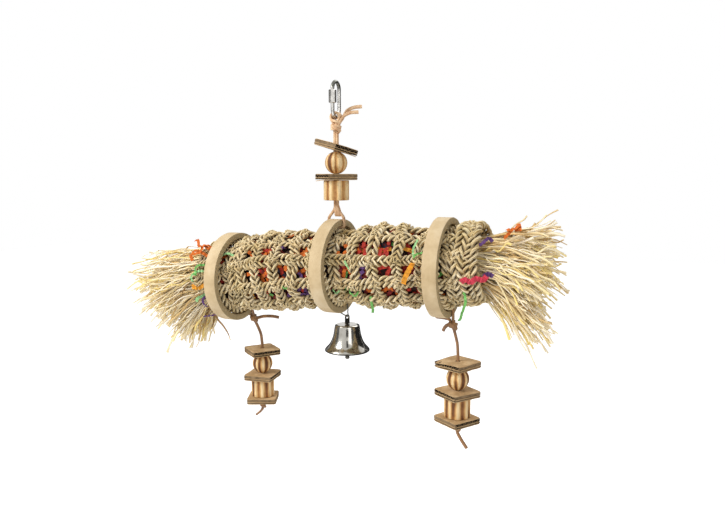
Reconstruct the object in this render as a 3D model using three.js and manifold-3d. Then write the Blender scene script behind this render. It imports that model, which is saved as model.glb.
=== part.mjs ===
// A hanging bird toy: a stuffed seagrass tube with three card rings, a bell and two dangles of card,
// beads and wood, hung by a leather lace from a quick link. Millimetres, +Z up, the tube along X.
// The origin is the inside top of the quick link, where the toy hangs.
import * as THREE from 'three';
import { mergeVertices } from 'three/addons/utils/BufferGeometryUtils.js';
import Module from 'manifold-3d';

const wasm = await Module();
wasm.setup();
const DEGREE = Math.PI / 180;

// Fits
const CLEARANCE = 0.3; // between pieces that touch
const BEND_GAP = 0.9; // between two lengths of lace that bend against each other

// Quick link
const LINK_WIRE = 3.4;
const LINK_LENGTH = 35.5;
const LINK_WIDTH = 16.8;
const LINK_GAP = 3.6; // between the threaded ends, inside the sleeve
const SLEEVE_LENGTH = 12;
const SLEEVE_FLATS = 6.2;
const SLEEVE_CHAMFER = 0.7;
const SLEEVE_DROP = 9.3; // below the link's outside top
const SLEEVE_GRIP = 2.2; // on the upper threaded end

// Leather lace
const LACE_WIDTH = 3.2;
const LACE_THICKNESS = 2.2;
const LACE_CHAMFER = 0.5;
const LOOP_DROP = 5.2; // from the link's lower bend to the foot of the loop
const HANGER_KNOT_RADIUS = 5.2;
const HANGER_KNOT_HEIGHT = 8.4;
const KNOT_RADIUS = 4.2; // at the head of a dangle
const END_KNOT_RADIUS = 3.6; // at the foot of a dangle
const KNOT_RIDGE = 0.5; // depth of the furrows between a knot's wraps
const KNOT_WRAPS = 3;

// Card squares, wooden beads and cylinders
const SQUARE_SIDE = 30;
const SQUARE_THICKNESS = 5.6;
const SQUARE_LINER = 0.5;
const FLUTE_PITCH = 7.2;
const BEAD_DIAMETER = 21;
const CYLINDER_DIAMETER = 24;
const CYLINDER_LENGTH = 18.5;
const WOOD_GROOVES = 9;
const GROOVE_DEPTH = 0.8;

// Hanger stack
const HANGER_RUN = 10.5; // bare lace between the knot and the top square
const TOP_SQUARE_TILT = 16 * DEGREE;
const TOP_SQUARE_TURN = 114 * DEGREE; // of the way the top square slopes, from the tube's axis
const TOP_SQUARE_SPIN = 45 * DEGREE; // on its own slope
const LOWER_SQUARE_SPIN = -37 * DEGREE;
const YOKE_DROP = 5.5; // bare lace below the stack
const YOKE_RISE = 12.2; // from the middle ring up to where the lace splits

// Tube and rings
const TUBE_TILT = 5.5 * DEGREE; // the left end hangs lower, while the rings hang plumb
const RING_OUTSIDE = 89;
const RING_WALL = 6;
const RING_WIDTH = 13;
const RING_CHAMFER = 0.5;
const RING_SEGMENTS = 36;
const RING_LEFT_X = -116;
const RING_RIGHT_X = 107;
const NET_BAR = 8;
const NET_THICKNESS = 6;
const NET_LINES = 10; // cords along the tube
const NET_CELLS_LEFT = 5; // between the left and middle rings
const NET_CELLS_RIGHT = 4; // between the middle and right rings
const NET_BULGE = 5.5; // between the rings
const NET_SLACK = 1.5; // the tube lies this far down in the middle ring, and the outer rings on the tube
const NET_SETTLE = 0.25; // its flats between the lines settle this much further on the bell's wire
const NET_END = 20; // past the right ring's last hoop
const NET_GATHER = 5; // the right end is drawn in
const RING_MARGIN = 1.5; // from a ring's face to the next hoop

// Fibre tufts
const STRANDS = 150; // in each tuft
const STRAND_RADIUS = 0.8;
const TUFT_MARGIN = 8; // between the root of a tuft and the net round it
const TUFT_BACKING = 6;
const LEFT_TUFT = { length: 104, spread: 46, droop: 20 };
const RIGHT_TUFT = { length: 76, spread: 54, droop: 17 };

// Bell
const BELL_TURN = 12 * DEGREE; // round the middle ring, to the rear
const BELL_SHIFT = 5.8; // along the tube from the ring's middle
const BELL_WIRE = 1.1;
const BELL_DROP = 7; // from the ring to the wire's lowest point
const STRAP_HOLE = 3;
const STRAP_RIM = 1.2;
const STRAP_THICKNESS = 1;
const STRAP_NECK = 2;
const STRAP_HEIGHT = 6.6; // from the hole's centre down to the crown
const STRAP_TURN = -24 * DEGREE;
const BELL_HEIGHT = 26;
const BELL_WALL = 1.1;
const BELL_CROWN = 11.2; // radius of the shoulder
const BELL_RIM = 21.4;
const CLAPPER_EYE = 1.9;
const CLAPPER_WIRE = 1;
const CLAPPER_ROD = 1.6;
const CLAPPER_FOOT = 4.4;
const CLAPPER_LENGTH = 27; // below its eye

// Dangles
const LEFT_TURN = 24 * DEGREE; // round the left ring, to the rear
const RIGHT_TURN = 3 * DEGREE;
const LEFT_RUN = 27.2; // bare lace above the top square
const RIGHT_RUN = 28.5;
const LEFT_SWAY = 8.9; // the bare lace curves this far along X
const RIGHT_SWAY = 5;

const steel = new THREE.MeshStandardMaterial({ color: 0xc9ccd0, roughness: 0.3, metalness: 1 });
const nickel = new THREE.MeshStandardMaterial({ color: 0xd6d8d9, roughness: 0.12, metalness: 1 });
const leather = new THREE.MeshStandardMaterial({ color: 0xc99a72, roughness: 0.7 });
const kraft = new THREE.MeshStandardMaterial({ color: 0xcdb48a, roughness: 0.85 });
const board = new THREE.MeshStandardMaterial({ color: 0xc8a66f, roughness: 0.9 });
const wood = new THREE.MeshStandardMaterial({ color: 0xe0b878, roughness: 0.6 });
const seagrass = new THREE.MeshStandardMaterial({ color: 0xb9a77e, roughness: 0.9 });
const paper = new THREE.MeshStandardMaterial({ color: 0xb8281e, roughness: 0.9 });
const fibre = new THREE.MeshStandardMaterial({ color: 0xe8d3a5, roughness: 0.8 });

// A run of points as a curve whose steps fall on the points themselves
class Route extends THREE.Curve {
  constructor(points) {
    super();
    this.points = points;
  }

  getPoint(t, target = new THREE.Vector3()) {
    const at = t * (this.points.length - 1);
    const i = Math.min(Math.floor(at), this.points.length - 2);
    return target.lerpVectors(this.points[i], this.points[i + 1], at - i);
  }

  getPointAt(u, target) {
    return this.getPoint(u, target);
  }

  getTangentAt(u, target = new THREE.Vector3()) {
    const last = this.points.length - 1;
    const i = Math.round(u * last);
    const into = this.points[Math.max(i, 1)].clone().sub(this.points[Math.max(i, 1) - 1]).normalize();
    const out = this.points[Math.min(i, last - 1) + 1].clone().sub(this.points[Math.min(i, last - 1)]);
    return target.copy(into).add(out.normalize()).normalize();
  }
}

function tube(section, points) {
  const options = { extrudePath: new Route(points), steps: points.length - 1, bevelEnabled: false };
  return new THREE.ExtrudeGeometry(section, options);
}

// A flat path drawn in X and Z, or in Y and Z
const inXZ = (path, bends) => path.getPoints(bends).map((p) => new THREE.Vector3(p.x, 0, p.y));
const inYZ = (path, bends) => path.getPoints(bends).map((p) => new THREE.Vector3(0, p.x, p.y));

function smooth(points, steps) {
  return new THREE.CatmullRomCurve3(points.map((p) => new THREE.Vector3(...p))).getPoints(steps);
}

function polygon(radius, sides, turn = 0) {
  const corners = [];
  for (let i = 0; i < sides; i += 1) {
    const angle = turn + (i * 2 * Math.PI) / sides;
    corners.push(new THREE.Vector2(radius * Math.cos(angle), radius * Math.sin(angle)));
  }
  return corners;
}

function laceSection() {
  const w = LACE_WIDTH / 2;
  const t = LACE_THICKNESS / 2;
  const c = LACE_CHAMFER;
  const corners = [[w, t - c], [w - c, t], [c - w, t], [-w, t - c], [-w, c - t], [c - w, -t], [w - c, -t], [w, c - t]];
  return new THREE.Shape(corners.map(([x, y]) => new THREE.Vector2(x, y)));
}

const lace = laceSection();
const wireSection = (diameter) => new THREE.Shape(polygon(diameter / 2, 8, Math.PI / 8));

function solidOf(geometry) {
  const bare = geometry.clone();
  for (const name of Object.keys(bare.attributes)) {
    if (name !== 'position') bare.deleteAttribute(name);
  }
  const merged = mergeVertices(bare, 1e-4);
  const vertProperties = new Float32Array(merged.attributes.position.array);
  const triVerts = new Uint32Array(merged.index.array);
  return new wasm.Manifold(new wasm.Mesh({ numProp: 3, vertProperties, triVerts }));
}

function geometryOf(solid) {
  const { vertProperties, triVerts } = solid.getMesh();
  const geometry = new THREE.BufferGeometry();
  geometry.setAttribute('position', new THREE.BufferAttribute(vertProperties, 3));
  geometry.setIndex(new THREE.BufferAttribute(triVerts, 1));
  geometry.computeVertexNormals();
  return geometry;
}

function add(parent, name, geometry, material) {
  const mesh = new THREE.Mesh(geometry, material);
  mesh.name = name;
  parent.add(mesh);
  return mesh;
}

function groupAt(parent, x, y, z) {
  const group = new THREE.Group();
  group.position.set(x, y, z);
  parent.add(group);
  return group;
}

function upright(radius, height, sides) {
  return new THREE.CylinderGeometry(radius, radius, height, sides).rotateX(Math.PI / 2);
}

const toy = new THREE.Group();

// Quick link, standing across the tube with its sleeve to the front
const legY = (LINK_WIDTH - LINK_WIRE) / 2;
const upperBendZ = LINK_WIRE / 2 - legY;
const linkFootZ = LINK_WIRE / 2 - (LINK_LENGTH - LINK_WIRE);
const sleeveTopZ = LINK_WIRE - SLEEVE_DROP;

function linkBody() {
  const path = new THREE.Path();
  const gapTop = sleeveTopZ - SLEEVE_GRIP;
  const lowerBendZ = linkFootZ + legY;
  path.moveTo(-legY, gapTop - LINK_GAP);
  path.lineTo(-legY, lowerBendZ);
  path.absarc(0, lowerBendZ, legY, Math.PI, 2 * Math.PI);
  path.lineTo(legY, upperBendZ);
  path.absarc(0, upperBendZ, legY, 0, Math.PI);
  path.lineTo(-legY, gapTop);
  return tube(wireSection(LINK_WIRE), inYZ(path, 6));
}

function linkSleeve() {
  const corner = SLEEVE_FLATS / Math.sqrt(3);
  const hexagon = new THREE.Shape(polygon(corner, 6));
  hexagon.holes.push(new THREE.Path(polygon(LINK_WIRE / 2 + CLEARANCE, 12)));
  const bar = new THREE.ExtrudeGeometry(hexagon, { depth: SLEEVE_LENGTH, bevelEnabled: false });
  const face = corner - SLEEVE_CHAMFER;
  const profile = [[0, 0], [face, 0], [corner, SLEEVE_CHAMFER], [corner, SLEEVE_LENGTH - SLEEVE_CHAMFER],
    [face, SLEEVE_LENGTH], [0, SLEEVE_LENGTH]];
  const turned = new THREE.LatheGeometry(profile.map(([r, z]) => new THREE.Vector2(r, z)), 18);
  return geometryOf(solidOf(bar).intersect(solidOf(turned.rotateX(Math.PI / 2))));
}

add(toy, 'quick_link_body', linkBody(), steel);
add(groupAt(toy, 0, -legY, sleeveTopZ - SLEEVE_LENGTH), 'quick_link_sleeve', linkSleeve(), steel);

// Hanger lace over the link: two passes side by side, with the two tails
const passX = (LACE_THICKNESS + CLEARANCE) / 2;
const passY = (LACE_WIDTH + CLEARANCE) / 2;
const loopFootZ = linkFootZ - LOOP_DROP;

function loopPass() {
  const reach = LACE_WIDTH + CLEARANCE / 2;
  const rise = legY - Math.sqrt(legY ** 2 - reach ** 2);
  const slanted = LINK_WIRE / 2 / Math.cos(Math.asin(reach / legY));
  const radius = rise + slanted + CLEARANCE + LACE_THICKNESS / 2;
  const path = new THREE.Path();
  path.moveTo(-passX, loopFootZ);
  path.lineTo(-radius, linkFootZ);
  path.absarc(0, linkFootZ, radius, Math.PI, 0, true);
  path.lineTo(passX, loopFootZ);
  return tube(lace, inXZ(path, 5));
}

add(groupAt(toy, 0, -passY, 0), 'hanger_loop_front', loopPass(), leather);
add(groupAt(toy, 0, passY, 0), 'hanger_loop_back', loopPass(), leather);
const tails = groupAt(toy, 0, 0, loopFootZ);
const upperTail = [[3.4, 5.4, 2], [5.8, 5.4, 8], [8.9, 6.4, 11.8], [14.5, 8.6, 14.4], [21.2, 11.4, 15.2]];
const lowerTail = [[5.1, -1, 2.2], [7.9, 0.4, 6.2], [13, 3, 9.2], [20, 6.4, 9.8]];
add(tails, 'hanger_tail_upper', tube(lace, smooth(upperTail, 8)), leather);
add(tails, 'hanger_tail_lower', tube(lace, smooth(lowerTail, 7)), leather);

// A knot is a round lump with furrows between its wraps
function knot(radius, height) {
  const profile = [new THREE.Vector2(0, -height / 2)];
  const rows = KNOT_WRAPS * 2;
  for (let i = 0; i <= rows; i += 1) {
    const slope = ((i + 0.5) / (rows + 1) - 0.5) * Math.PI;
    const furrow = i % 2 === 1 ? KNOT_RIDGE : 0;
    profile.push(new THREE.Vector2(radius * Math.cos(slope) - furrow, (height / 2) * Math.sin(slope)));
  }
  profile.push(new THREE.Vector2(0, height / 2));
  return new THREE.LatheGeometry(profile, 10).rotateX(Math.PI / 2);
}

const hangerKnotZ = loopFootZ - CLEARANCE - HANGER_KNOT_HEIGHT / 2;
const hangerKnotFootZ = hangerKnotZ - HANGER_KNOT_HEIGHT / 2;
add(groupAt(toy, 0, 0, hangerKnotZ), 'hanger_knot', knot(HANGER_KNOT_RADIUS, HANGER_KNOT_HEIGHT), leather);

// Pieces threaded on a lace, each with a hole of the given radius
function cardSquare(hole) {
  const rowHeight = SQUARE_THICKNESS / 2 - 1.5 * SQUARE_LINER;
  const flutes = Math.floor((SQUARE_SIDE - 2 * SQUARE_LINER) / FLUTE_PITCH);
  const reach = FLUTE_PITCH / 2 - SQUARE_LINER;
  const cuts = [solidOf(upright(hole, 2 * SQUARE_THICKNESS, 12))];
  for (const up of [1, -1]) {
    const triangle = [[-reach, 0], [reach, 0], [0, up * rowHeight]].map(([x, y]) => new THREE.Vector2(x, y));
    for (let i = 0; i < flutes; i += 1) {
      const options = { depth: 2 * SQUARE_SIDE, bevelEnabled: false };
      const flute = new THREE.ExtrudeGeometry(new THREE.Shape(triangle), options).translate(0, 0, -SQUARE_SIDE);
      const x = (i - (flutes - 1) / 2) * FLUTE_PITCH;
      flute.rotateX(Math.PI / 2).translate(x, 0, up * (SQUARE_LINER - SQUARE_THICKNESS / 2));
      cuts.push(solidOf(flute));
    }
  }
  const slab = solidOf(new THREE.BoxGeometry(SQUARE_SIDE, SQUARE_SIDE, SQUARE_THICKNESS));
  return geometryOf(slab.subtract(wasm.Manifold.union(cuts)));
}

// Shallow round grooves run down the wood; 0 on a rib's crest and 1 at the bottom of a groove
const groove = (angle) => (1 - Math.cos(WOOD_GROOVES * angle)) / 2;

function bead(hole) {
  const radius = BEAD_DIAMETER / 2;
  const mouth = Math.asin(hole / radius);
  const rows = 6;
  const profile = [new THREE.Vector2(hole, radius * Math.cos(mouth))];
  for (let i = rows; i >= 0; i -= 1) {
    const slope = mouth + ((Math.PI - 2 * mouth) * i) / rows;
    profile.push(new THREE.Vector2(radius * Math.sin(slope), radius * Math.cos(slope)));
  }
  const ball = new THREE.LatheGeometry(profile, WOOD_GROOVES * 2).rotateX(Math.PI / 2);
  const at = ball.attributes.position;
  for (let i = 0; i < at.count; i += 1) {
    const out = Math.hypot(at.getX(i), at.getY(i));
    const depth = GROOVE_DEPTH * groove(Math.atan2(at.getY(i), at.getX(i)));
    const share = (out - depth * ((out - hole) / (radius - hole))) / out;
    at.setXY(i, at.getX(i) * share, at.getY(i) * share);
  }
  return geometryOf(solidOf(ball));
}

function cylinder(hole) {
  const points = [];
  const steps = WOOD_GROOVES * 2;
  for (let i = 0; i < steps; i += 1) {
    const angle = (i * 2 * Math.PI) / steps;
    const radius = CYLINDER_DIAMETER / 2 - GROOVE_DEPTH * groove(angle);
    points.push(new THREE.Vector2(radius * Math.cos(angle), radius * Math.sin(angle)));
  }
  const outline = new THREE.Shape(points);
  outline.holes.push(new THREE.Path(polygon(hole, 12)));
  const bar = new THREE.ExtrudeGeometry(outline, { depth: CYLINDER_LENGTH, bevelEnabled: false });
  return bar.translate(0, 0, -CYLINDER_LENGTH / 2);
}

const beadHalf = (hole) => Math.sqrt((BEAD_DIAMETER / 2) ** 2 - hole ** 2);

// Hanger stack, from the tilted square down to where the lace splits
const strandReach = Math.hypot(passX + LACE_THICKNESS / 2, LACE_WIDTH / 2);
const strandHole = (strandReach + CLEARANCE) / Math.cos(Math.PI / 12);
const tiltedHole = strandHole + Math.tan(TOP_SQUARE_TILT) * (SQUARE_THICKNESS / 2);
const tiltedHalf = SQUARE_THICKNESS / 2 / Math.cos(TOP_SQUARE_TILT);
const topSquareZ = hangerKnotFootZ - HANGER_RUN - tiltedHalf;
const tiltDrop = strandHole * Math.tan(TOP_SQUARE_TILT);
const hangerBeadZ = topSquareZ - tiltedHalf - tiltDrop - CLEARANCE - beadHalf(strandHole);
const lowerSquareZ = hangerBeadZ - beadHalf(strandHole) - CLEARANCE - SQUARE_THICKNESS / 2;
const hangerCylinderZ = lowerSquareZ - SQUARE_THICKNESS / 2 - CLEARANCE - CYLINDER_LENGTH / 2;
const splitZ = hangerCylinderZ - CYLINDER_LENGTH / 2 - YOKE_DROP;

const tilted = groupAt(toy, 0, 0, topSquareZ);
tilted.rotation.set(0, 0, TOP_SQUARE_TURN - Math.PI / 2);
const sloped = groupAt(tilted, 0, 0, 0);
sloped.rotation.y = TOP_SQUARE_TILT;
add(sloped, 'hanger_square_top', cardSquare(tiltedHole), board).rotation.z = TOP_SQUARE_SPIN;
add(groupAt(toy, 0, 0, hangerBeadZ), 'hanger_bead', bead(strandHole), wood);
const lowerSquare = add(groupAt(toy, 0, 0, lowerSquareZ), 'hanger_square_lower', cardSquare(strandHole), board);
lowerSquare.rotation.z = LOWER_SQUARE_SPIN;
add(groupAt(toy, 0, 0, hangerCylinderZ), 'hanger_cylinder', cylinder(strandHole), wood);

function strand() {
  const top = new THREE.Vector3(0, 0, hangerKnotFootZ - BEND_GAP);
  return tube(lace, [top, new THREE.Vector3(0, 0, splitZ + BEND_GAP / 2)]);
}

add(groupAt(toy, -passX, 0, 0), 'hanger_strand_left', strand(), leather);
add(groupAt(toy, passX, 0, 0), 'hanger_strand_right', strand(), leather);

// Everything on the tube hangs from the split: the rings are plumb and the tube slopes through them
const hung = groupAt(toy, 0, 0, splitZ);
const ringRadius = RING_OUTSIDE / 2;
const boreRadius = ringRadius - RING_WALL;
const boreFlat = boreRadius * Math.cos(Math.PI / RING_SEGMENTS);
const ringCentreZ = -YOKE_RISE - ringRadius;

// A length of lace or wire lies against the ring's wall at these distances from the ring's centre
const sideOf = (thickness) => RING_WIDTH / 2 + CLEARANCE + thickness / 2;
const underOf = (thickness) => boreFlat - CLEARANCE - thickness / 2;

const slopeSlack = Math.tan(TUBE_TILT) * (sideOf(LACE_THICKNESS) + LACE_THICKNESS / 2);
const looseDrop = (LACE_THICKNESS + BELL_WIRE) / 2 + CLEARANCE + NET_SLACK;
const netWaist = (boreFlat - looseDrop - CLEARANCE - slopeSlack) * Math.cos(TUBE_TILT);
const axisZ = ringCentreZ - (LACE_THICKNESS - BELL_WIRE) / 2 - NET_SLACK - NET_SETTLE;

function ring() {
  const half = RING_WIDTH / 2;
  const edge = half - RING_CHAMFER;
  const face = ringRadius - RING_CHAMFER;
  const profile = [[boreRadius, -half], [face, -half], [ringRadius, -edge], [ringRadius, edge],
    [face, half], [boreRadius, half], [boreRadius, -half]];
  const points = profile.map(([r, x]) => new THREE.Vector2(r, x));
  return new THREE.LatheGeometry(points, RING_SEGMENTS).rotateZ(-Math.PI / 2);
}

const looseRing = (along) => groupAt(hung, along * Math.cos(TUBE_TILT), 0,
  axisZ + along * Math.sin(TUBE_TILT) - looseDrop);
const ringLeft = looseRing(RING_LEFT_X);
const ringMiddle = groupAt(hung, 0, 0, ringCentreZ);
const ringRight = looseRing(RING_RIGHT_X);
add(ringLeft, 'ring_left', ring(), kraft);
add(ringMiddle, 'ring_middle', ring(), kraft);
add(ringRight, 'ring_right', ring(), kraft);

function yoke() {
  const side = sideOf(LACE_THICKNESS);
  const inner = ringCentreZ + underOf(LACE_THICKNESS);
  const bend = side - RING_WIDTH / 2;
  const path = new THREE.Path();
  path.moveTo(-passX, -BEND_GAP / 2);
  path.lineTo(-passX, -2.5);
  path.lineTo(-side, 1 - YOKE_RISE);
  path.lineTo(-side, inner + bend);
  path.absarc(bend - side, inner + bend, bend, Math.PI, 1.5 * Math.PI);
  path.lineTo(side - bend, inner);
  path.absarc(side - bend, inner + bend, bend, 1.5 * Math.PI, 2 * Math.PI);
  path.lineTo(side, 1 - YOKE_RISE);
  path.lineTo(passX, -2.5);
  path.lineTo(passX, -BEND_GAP / 2);
  return tube(lace, inXZ(path, 2));
}

add(hung, 'hanger_yoke', yoke(), leather);

// Seagrass net: square-barred hoops and lines, rolled into a tube round the filling
const core = groupAt(hung, 0, 0, axisZ);
core.rotation.y = -TUBE_TILT;
const hoopOffset = RING_WIDTH / 2 + RING_MARGIN + NET_BAR / 2;

function hoops() {
  const list = [[RING_LEFT_X - hoopOffset, netWaist]];
  const bay = (from, to, cells) => {
    for (let i = 0; i <= cells; i += 1) {
      const swell = Math.sin((Math.PI * i) / cells) ** 0.5;
      list.push([from + ((to - from) * i) / cells, netWaist + NET_BULGE * swell]);
    }
  };
  bay(RING_LEFT_X + hoopOffset, -hoopOffset, NET_CELLS_LEFT);
  bay(hoopOffset, RING_RIGHT_X - hoopOffset, NET_CELLS_RIGHT);
  list.push([RING_RIGHT_X + hoopOffset, netWaist]);
  list.push([RING_RIGHT_X + hoopOffset + NET_END, netWaist - NET_GATHER]);
  return list;
}

function lineAngles() {
  const half = NET_BAR / 2 / netWaist;
  const angles = [];
  for (let j = 0; j < NET_LINES; j += 1) {
    const middle = ((j + 0.5) * 2 * Math.PI) / NET_LINES;
    angles.push(middle - half, middle + half);
  }
  return angles;
}

function net() {
  const rows = hoops().flatMap(([x, r]) => [[x - NET_BAR / 2, r], [x + NET_BAR / 2, r]]);
  const angles = lineAngles();
  const around = angles.length;
  const points = [];
  for (const depth of [0, NET_THICKNESS]) {
    for (const [x, r] of rows) {
      for (const angle of angles) points.push(x, (r - depth) * Math.cos(angle), (r - depth) * Math.sin(angle));
    }
  }
  const index = [];
  const at = (layer, row, line) => (layer * rows.length + row) * around + (line % around);
  const quad = (a, b, c, d) => index.push(a, b, c, a, c, d);
  const isBar = (row, line) => row % 2 === 0 || line % 2 === 0;
  for (let i = 0; i < rows.length - 1; i += 1) {
    for (let j = 0; j < around; j += 1) {
      if (isBar(i, j)) {
        quad(at(0, i, j), at(0, i, j + 1), at(0, i + 1, j + 1), at(0, i + 1, j));
        quad(at(1, i, j), at(1, i + 1, j), at(1, i + 1, j + 1), at(1, i, j + 1));
      } else {
        quad(at(0, i, j), at(0, i, j + 1), at(1, i, j + 1), at(1, i, j));
        quad(at(0, i + 1, j), at(1, i + 1, j), at(1, i + 1, j + 1), at(0, i + 1, j + 1));
        quad(at(0, i, j), at(1, i, j), at(1, i + 1, j), at(0, i + 1, j));
        quad(at(0, i, j + 1), at(0, i + 1, j + 1), at(1, i + 1, j + 1), at(1, i, j + 1));
      }
    }
  }
  const end = rows.length - 1;
  for (let j = 0; j < around; j += 1) {
    quad(at(0, 0, j), at(1, 0, j), at(1, 0, j + 1), at(0, 0, j + 1));
    quad(at(0, end, j), at(0, end, j + 1), at(1, end, j + 1), at(1, end, j));
  }
  const geometry = new THREE.BufferGeometry();
  geometry.setAttribute('position', new THREE.Float32BufferAttribute(points, 3));
  geometry.setIndex(index);
  geometry.computeVertexNormals();
  return geometry;
}

add(core, 'seagrass_tube', net(), seagrass);

// Paper filling, in two halves, close inside the net
const tuftRoot = netWaist - NET_GATHER - NET_THICKNESS - TUFT_MARGIN;
const fillStartX = RING_LEFT_X - hoopOffset + NET_BAR / 2;
const fillEndX = RING_RIGHT_X + hoopOffset + NET_BAR / 2;

function filling(from, to) {
  const inside = hoops().flatMap(([x, r]) => [[x - NET_BAR / 2, r], [x + NET_BAR / 2, r]]);
  const rows = [[from, netWaist], ...inside.filter(([x]) => x > from && x < to), [to, netWaist]];
  const angles = lineAngles();
  const around = angles.length;
  const points = [];
  const index = [];
  for (const [x, r] of rows) {
    const radius = r - NET_THICKNESS - CLEARANCE;
    for (const angle of angles) points.push(x, radius * Math.cos(angle), radius * Math.sin(angle));
  }
  for (let i = 0; i < rows.length - 1; i += 1) {
    for (let j = 0; j < around; j += 1) {
      const [a, b] = [i * around + j, i * around + ((j + 1) % around)];
      index.push(a, b, b + around, a, b + around, a + around);
    }
  }
  const end = (rows.length - 1) * around;
  for (let j = 1; j < around - 1; j += 1) index.push(0, j + 1, j, end, end + j, end + j + 1);
  const geometry = new THREE.BufferGeometry();
  geometry.setAttribute('position', new THREE.Float32BufferAttribute(points, 3));
  geometry.setIndex(index);
  geometry.computeVertexNormals();
  return geometry;
}

add(core, 'paper_fill_left', filling(fillStartX, -CLEARANCE / 2), paper);
add(core, 'paper_fill_right', filling(CLEARANCE / 2, fillEndX), paper);

// A tuft: strands that fan out from a round backing and droop, pointing along +X
function tuft({ length, spread, droop }, count, front) {
  const backing = new THREE.CylinderGeometry(tuftRoot + 2, tuftRoot + 2, TUFT_BACKING, 20);
  backing.rotateZ(-Math.PI / 2).translate(TUFT_BACKING / 2, 0, 0);
  const solids = [solidOf(backing)];
  const golden = Math.PI * (3 - Math.sqrt(5));
  for (let i = 0; i < count; i += 1) {
    const out = tuftRoot * Math.sqrt((i + 0.5) / count);
    const angle = i * golden;
    const reach = length * (0.78 + 0.22 * Math.abs(Math.sin(i * 12.9898)));
    const section = (x, radius) => {
      const along = Math.max(0, x - front) / (length - front);
      const scale = 1 + (spread / tuftRoot - 1) * along ** 1.2;
      const y = out * Math.cos(angle) * scale;
      const z = out * Math.sin(angle) * scale - droop * along ** 2;
      return polygon(radius, 3, angle).map((p) => [x, y + p.x, z + p.y]);
    };
    const rings = [section(TUFT_BACKING - 1, STRAND_RADIUS), section(front + (reach - front) * 0.55, STRAND_RADIUS)];
    const tip = section(reach, 0)[0];
    const points = [...rings.flat(2), ...tip];
    const sides = [];
    for (let k = 0; k < 3; k += 1) {
      const next = (k + 1) % 3;
      sides.push(k, next, 3 + next, k, 3 + next, 3 + k, 3 + k, 3 + next, 6);
    }
    sides.push(0, 2, 1);
    const vertProperties = new Float32Array(points);
    solids.push(new wasm.Manifold(new wasm.Mesh({ numProp: 3, vertProperties, triVerts: new Uint32Array(sides) })));
  }
  return geometryOf(wasm.Manifold.union(solids));
}

const rightRootX = fillEndX + CLEARANCE;
const rightMouth = RING_RIGHT_X + hoopOffset + NET_END + NET_BAR / 2 - rightRootX;
const tuftRight = tuft(RIGHT_TUFT, STRANDS, rightMouth);
const tuftLeft = tuft(LEFT_TUFT, STRANDS, TUFT_BACKING);
add(groupAt(core, rightRootX, 0, 0), 'fibre_tuft_right', tuftRight, fibre);
const leftRoot = groupAt(core, fillStartX - CLEARANCE, 0, 0);
leftRoot.rotation.z = Math.PI;
add(leftRoot, 'fibre_tuft_left', tuftLeft, fibre);

// Bell, on a wire bent round the middle ring's wall with its ends butted inside
const bellTurn = groupAt(ringMiddle, 0, 0, 0);
bellTurn.rotation.x = BELL_TURN;

function bellWire() {
  const side = sideOf(BELL_WIRE);
  const inner = -underOf(BELL_WIRE);
  const bend = side - RING_WIDTH / 2;
  const shoulder = -ringRadius - 0.8;
  const low = -ringRadius - BELL_DROP;
  const path = new THREE.Path();
  path.moveTo(CLEARANCE, inner);
  path.lineTo(side - bend, inner);
  path.absarc(side - bend, inner - bend, bend, Math.PI / 2, 0, true);
  path.lineTo(side, shoulder);
  path.lineTo(BELL_SHIFT + 1.2, low + 0.6);
  path.quadraticCurveTo(BELL_SHIFT, low - 0.6, BELL_SHIFT - 1.2, low + 0.6);
  path.lineTo(-side, shoulder);
  path.lineTo(-side, inner - bend);
  path.absarc(bend - side, inner - bend, bend, Math.PI, Math.PI / 2, true);
  path.lineTo(-CLEARANCE, inner);
  return tube(wireSection(BELL_WIRE), inXZ(path, 4));
}

add(bellTurn, 'bell_wire', bellWire(), steel);
toy.updateMatrixWorld(true);
const wireFoot = bellTurn.localToWorld(new THREE.Vector3(BELL_SHIFT, 0, -ringRadius - BELL_DROP));
const strapHoleZ = wireFoot.z - (STRAP_HOLE - BELL_WIRE) / 2 + CLEARANCE;
const bell = groupAt(toy, wireFoot.x, wireFoot.y, strapHoleZ);
bell.rotation.z = STRAP_TURN;
const crownZ = -STRAP_HEIGHT - CLEARANCE;
const eyeRadius = CLAPPER_WIRE / 2 + 2 * CLEARANCE;
const hookTopZ = crownZ - BELL_WALL - CLEARANCE;
const hookEyeZ = hookTopZ - STRAP_RIM - eyeRadius;

// The strap is one flat strip: an eye above the crown, a neck through it and an eye for the clapper
function strap() {
  const upper = STRAP_HOLE / 2 + STRAP_RIM;
  const lower = eyeRadius + STRAP_RIM;
  const neck = STRAP_NECK / 2;
  const shape = new THREE.Shape();
  shape.moveTo(upper, 0);
  shape.absarc(0, 0, upper, 0, Math.PI);
  shape.lineTo(-upper, -STRAP_HEIGHT);
  shape.lineTo(-neck, -STRAP_HEIGHT);
  shape.lineTo(-neck, hookTopZ);
  shape.lineTo(-lower, hookTopZ);
  shape.lineTo(-lower, hookEyeZ);
  shape.absarc(0, hookEyeZ, lower, Math.PI, 2 * Math.PI);
  shape.lineTo(lower, hookTopZ);
  shape.lineTo(neck, hookTopZ);
  shape.lineTo(neck, -STRAP_HEIGHT);
  shape.lineTo(upper, -STRAP_HEIGHT);
  const lowerEye = polygon(eyeRadius, 12).map((p) => p.add(new THREE.Vector2(0, hookEyeZ)));
  shape.holes.push(new THREE.Path(polygon(STRAP_HOLE / 2, 12)), new THREE.Path(lowerEye));
  const options = { depth: STRAP_THICKNESS, bevelEnabled: false, curveSegments: 5 };
  const strip = new THREE.ExtrudeGeometry(shape, options).translate(0, 0, -STRAP_THICKNESS / 2);
  return strip.rotateX(Math.PI / 2).rotateZ(Math.PI / 2);
}

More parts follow.
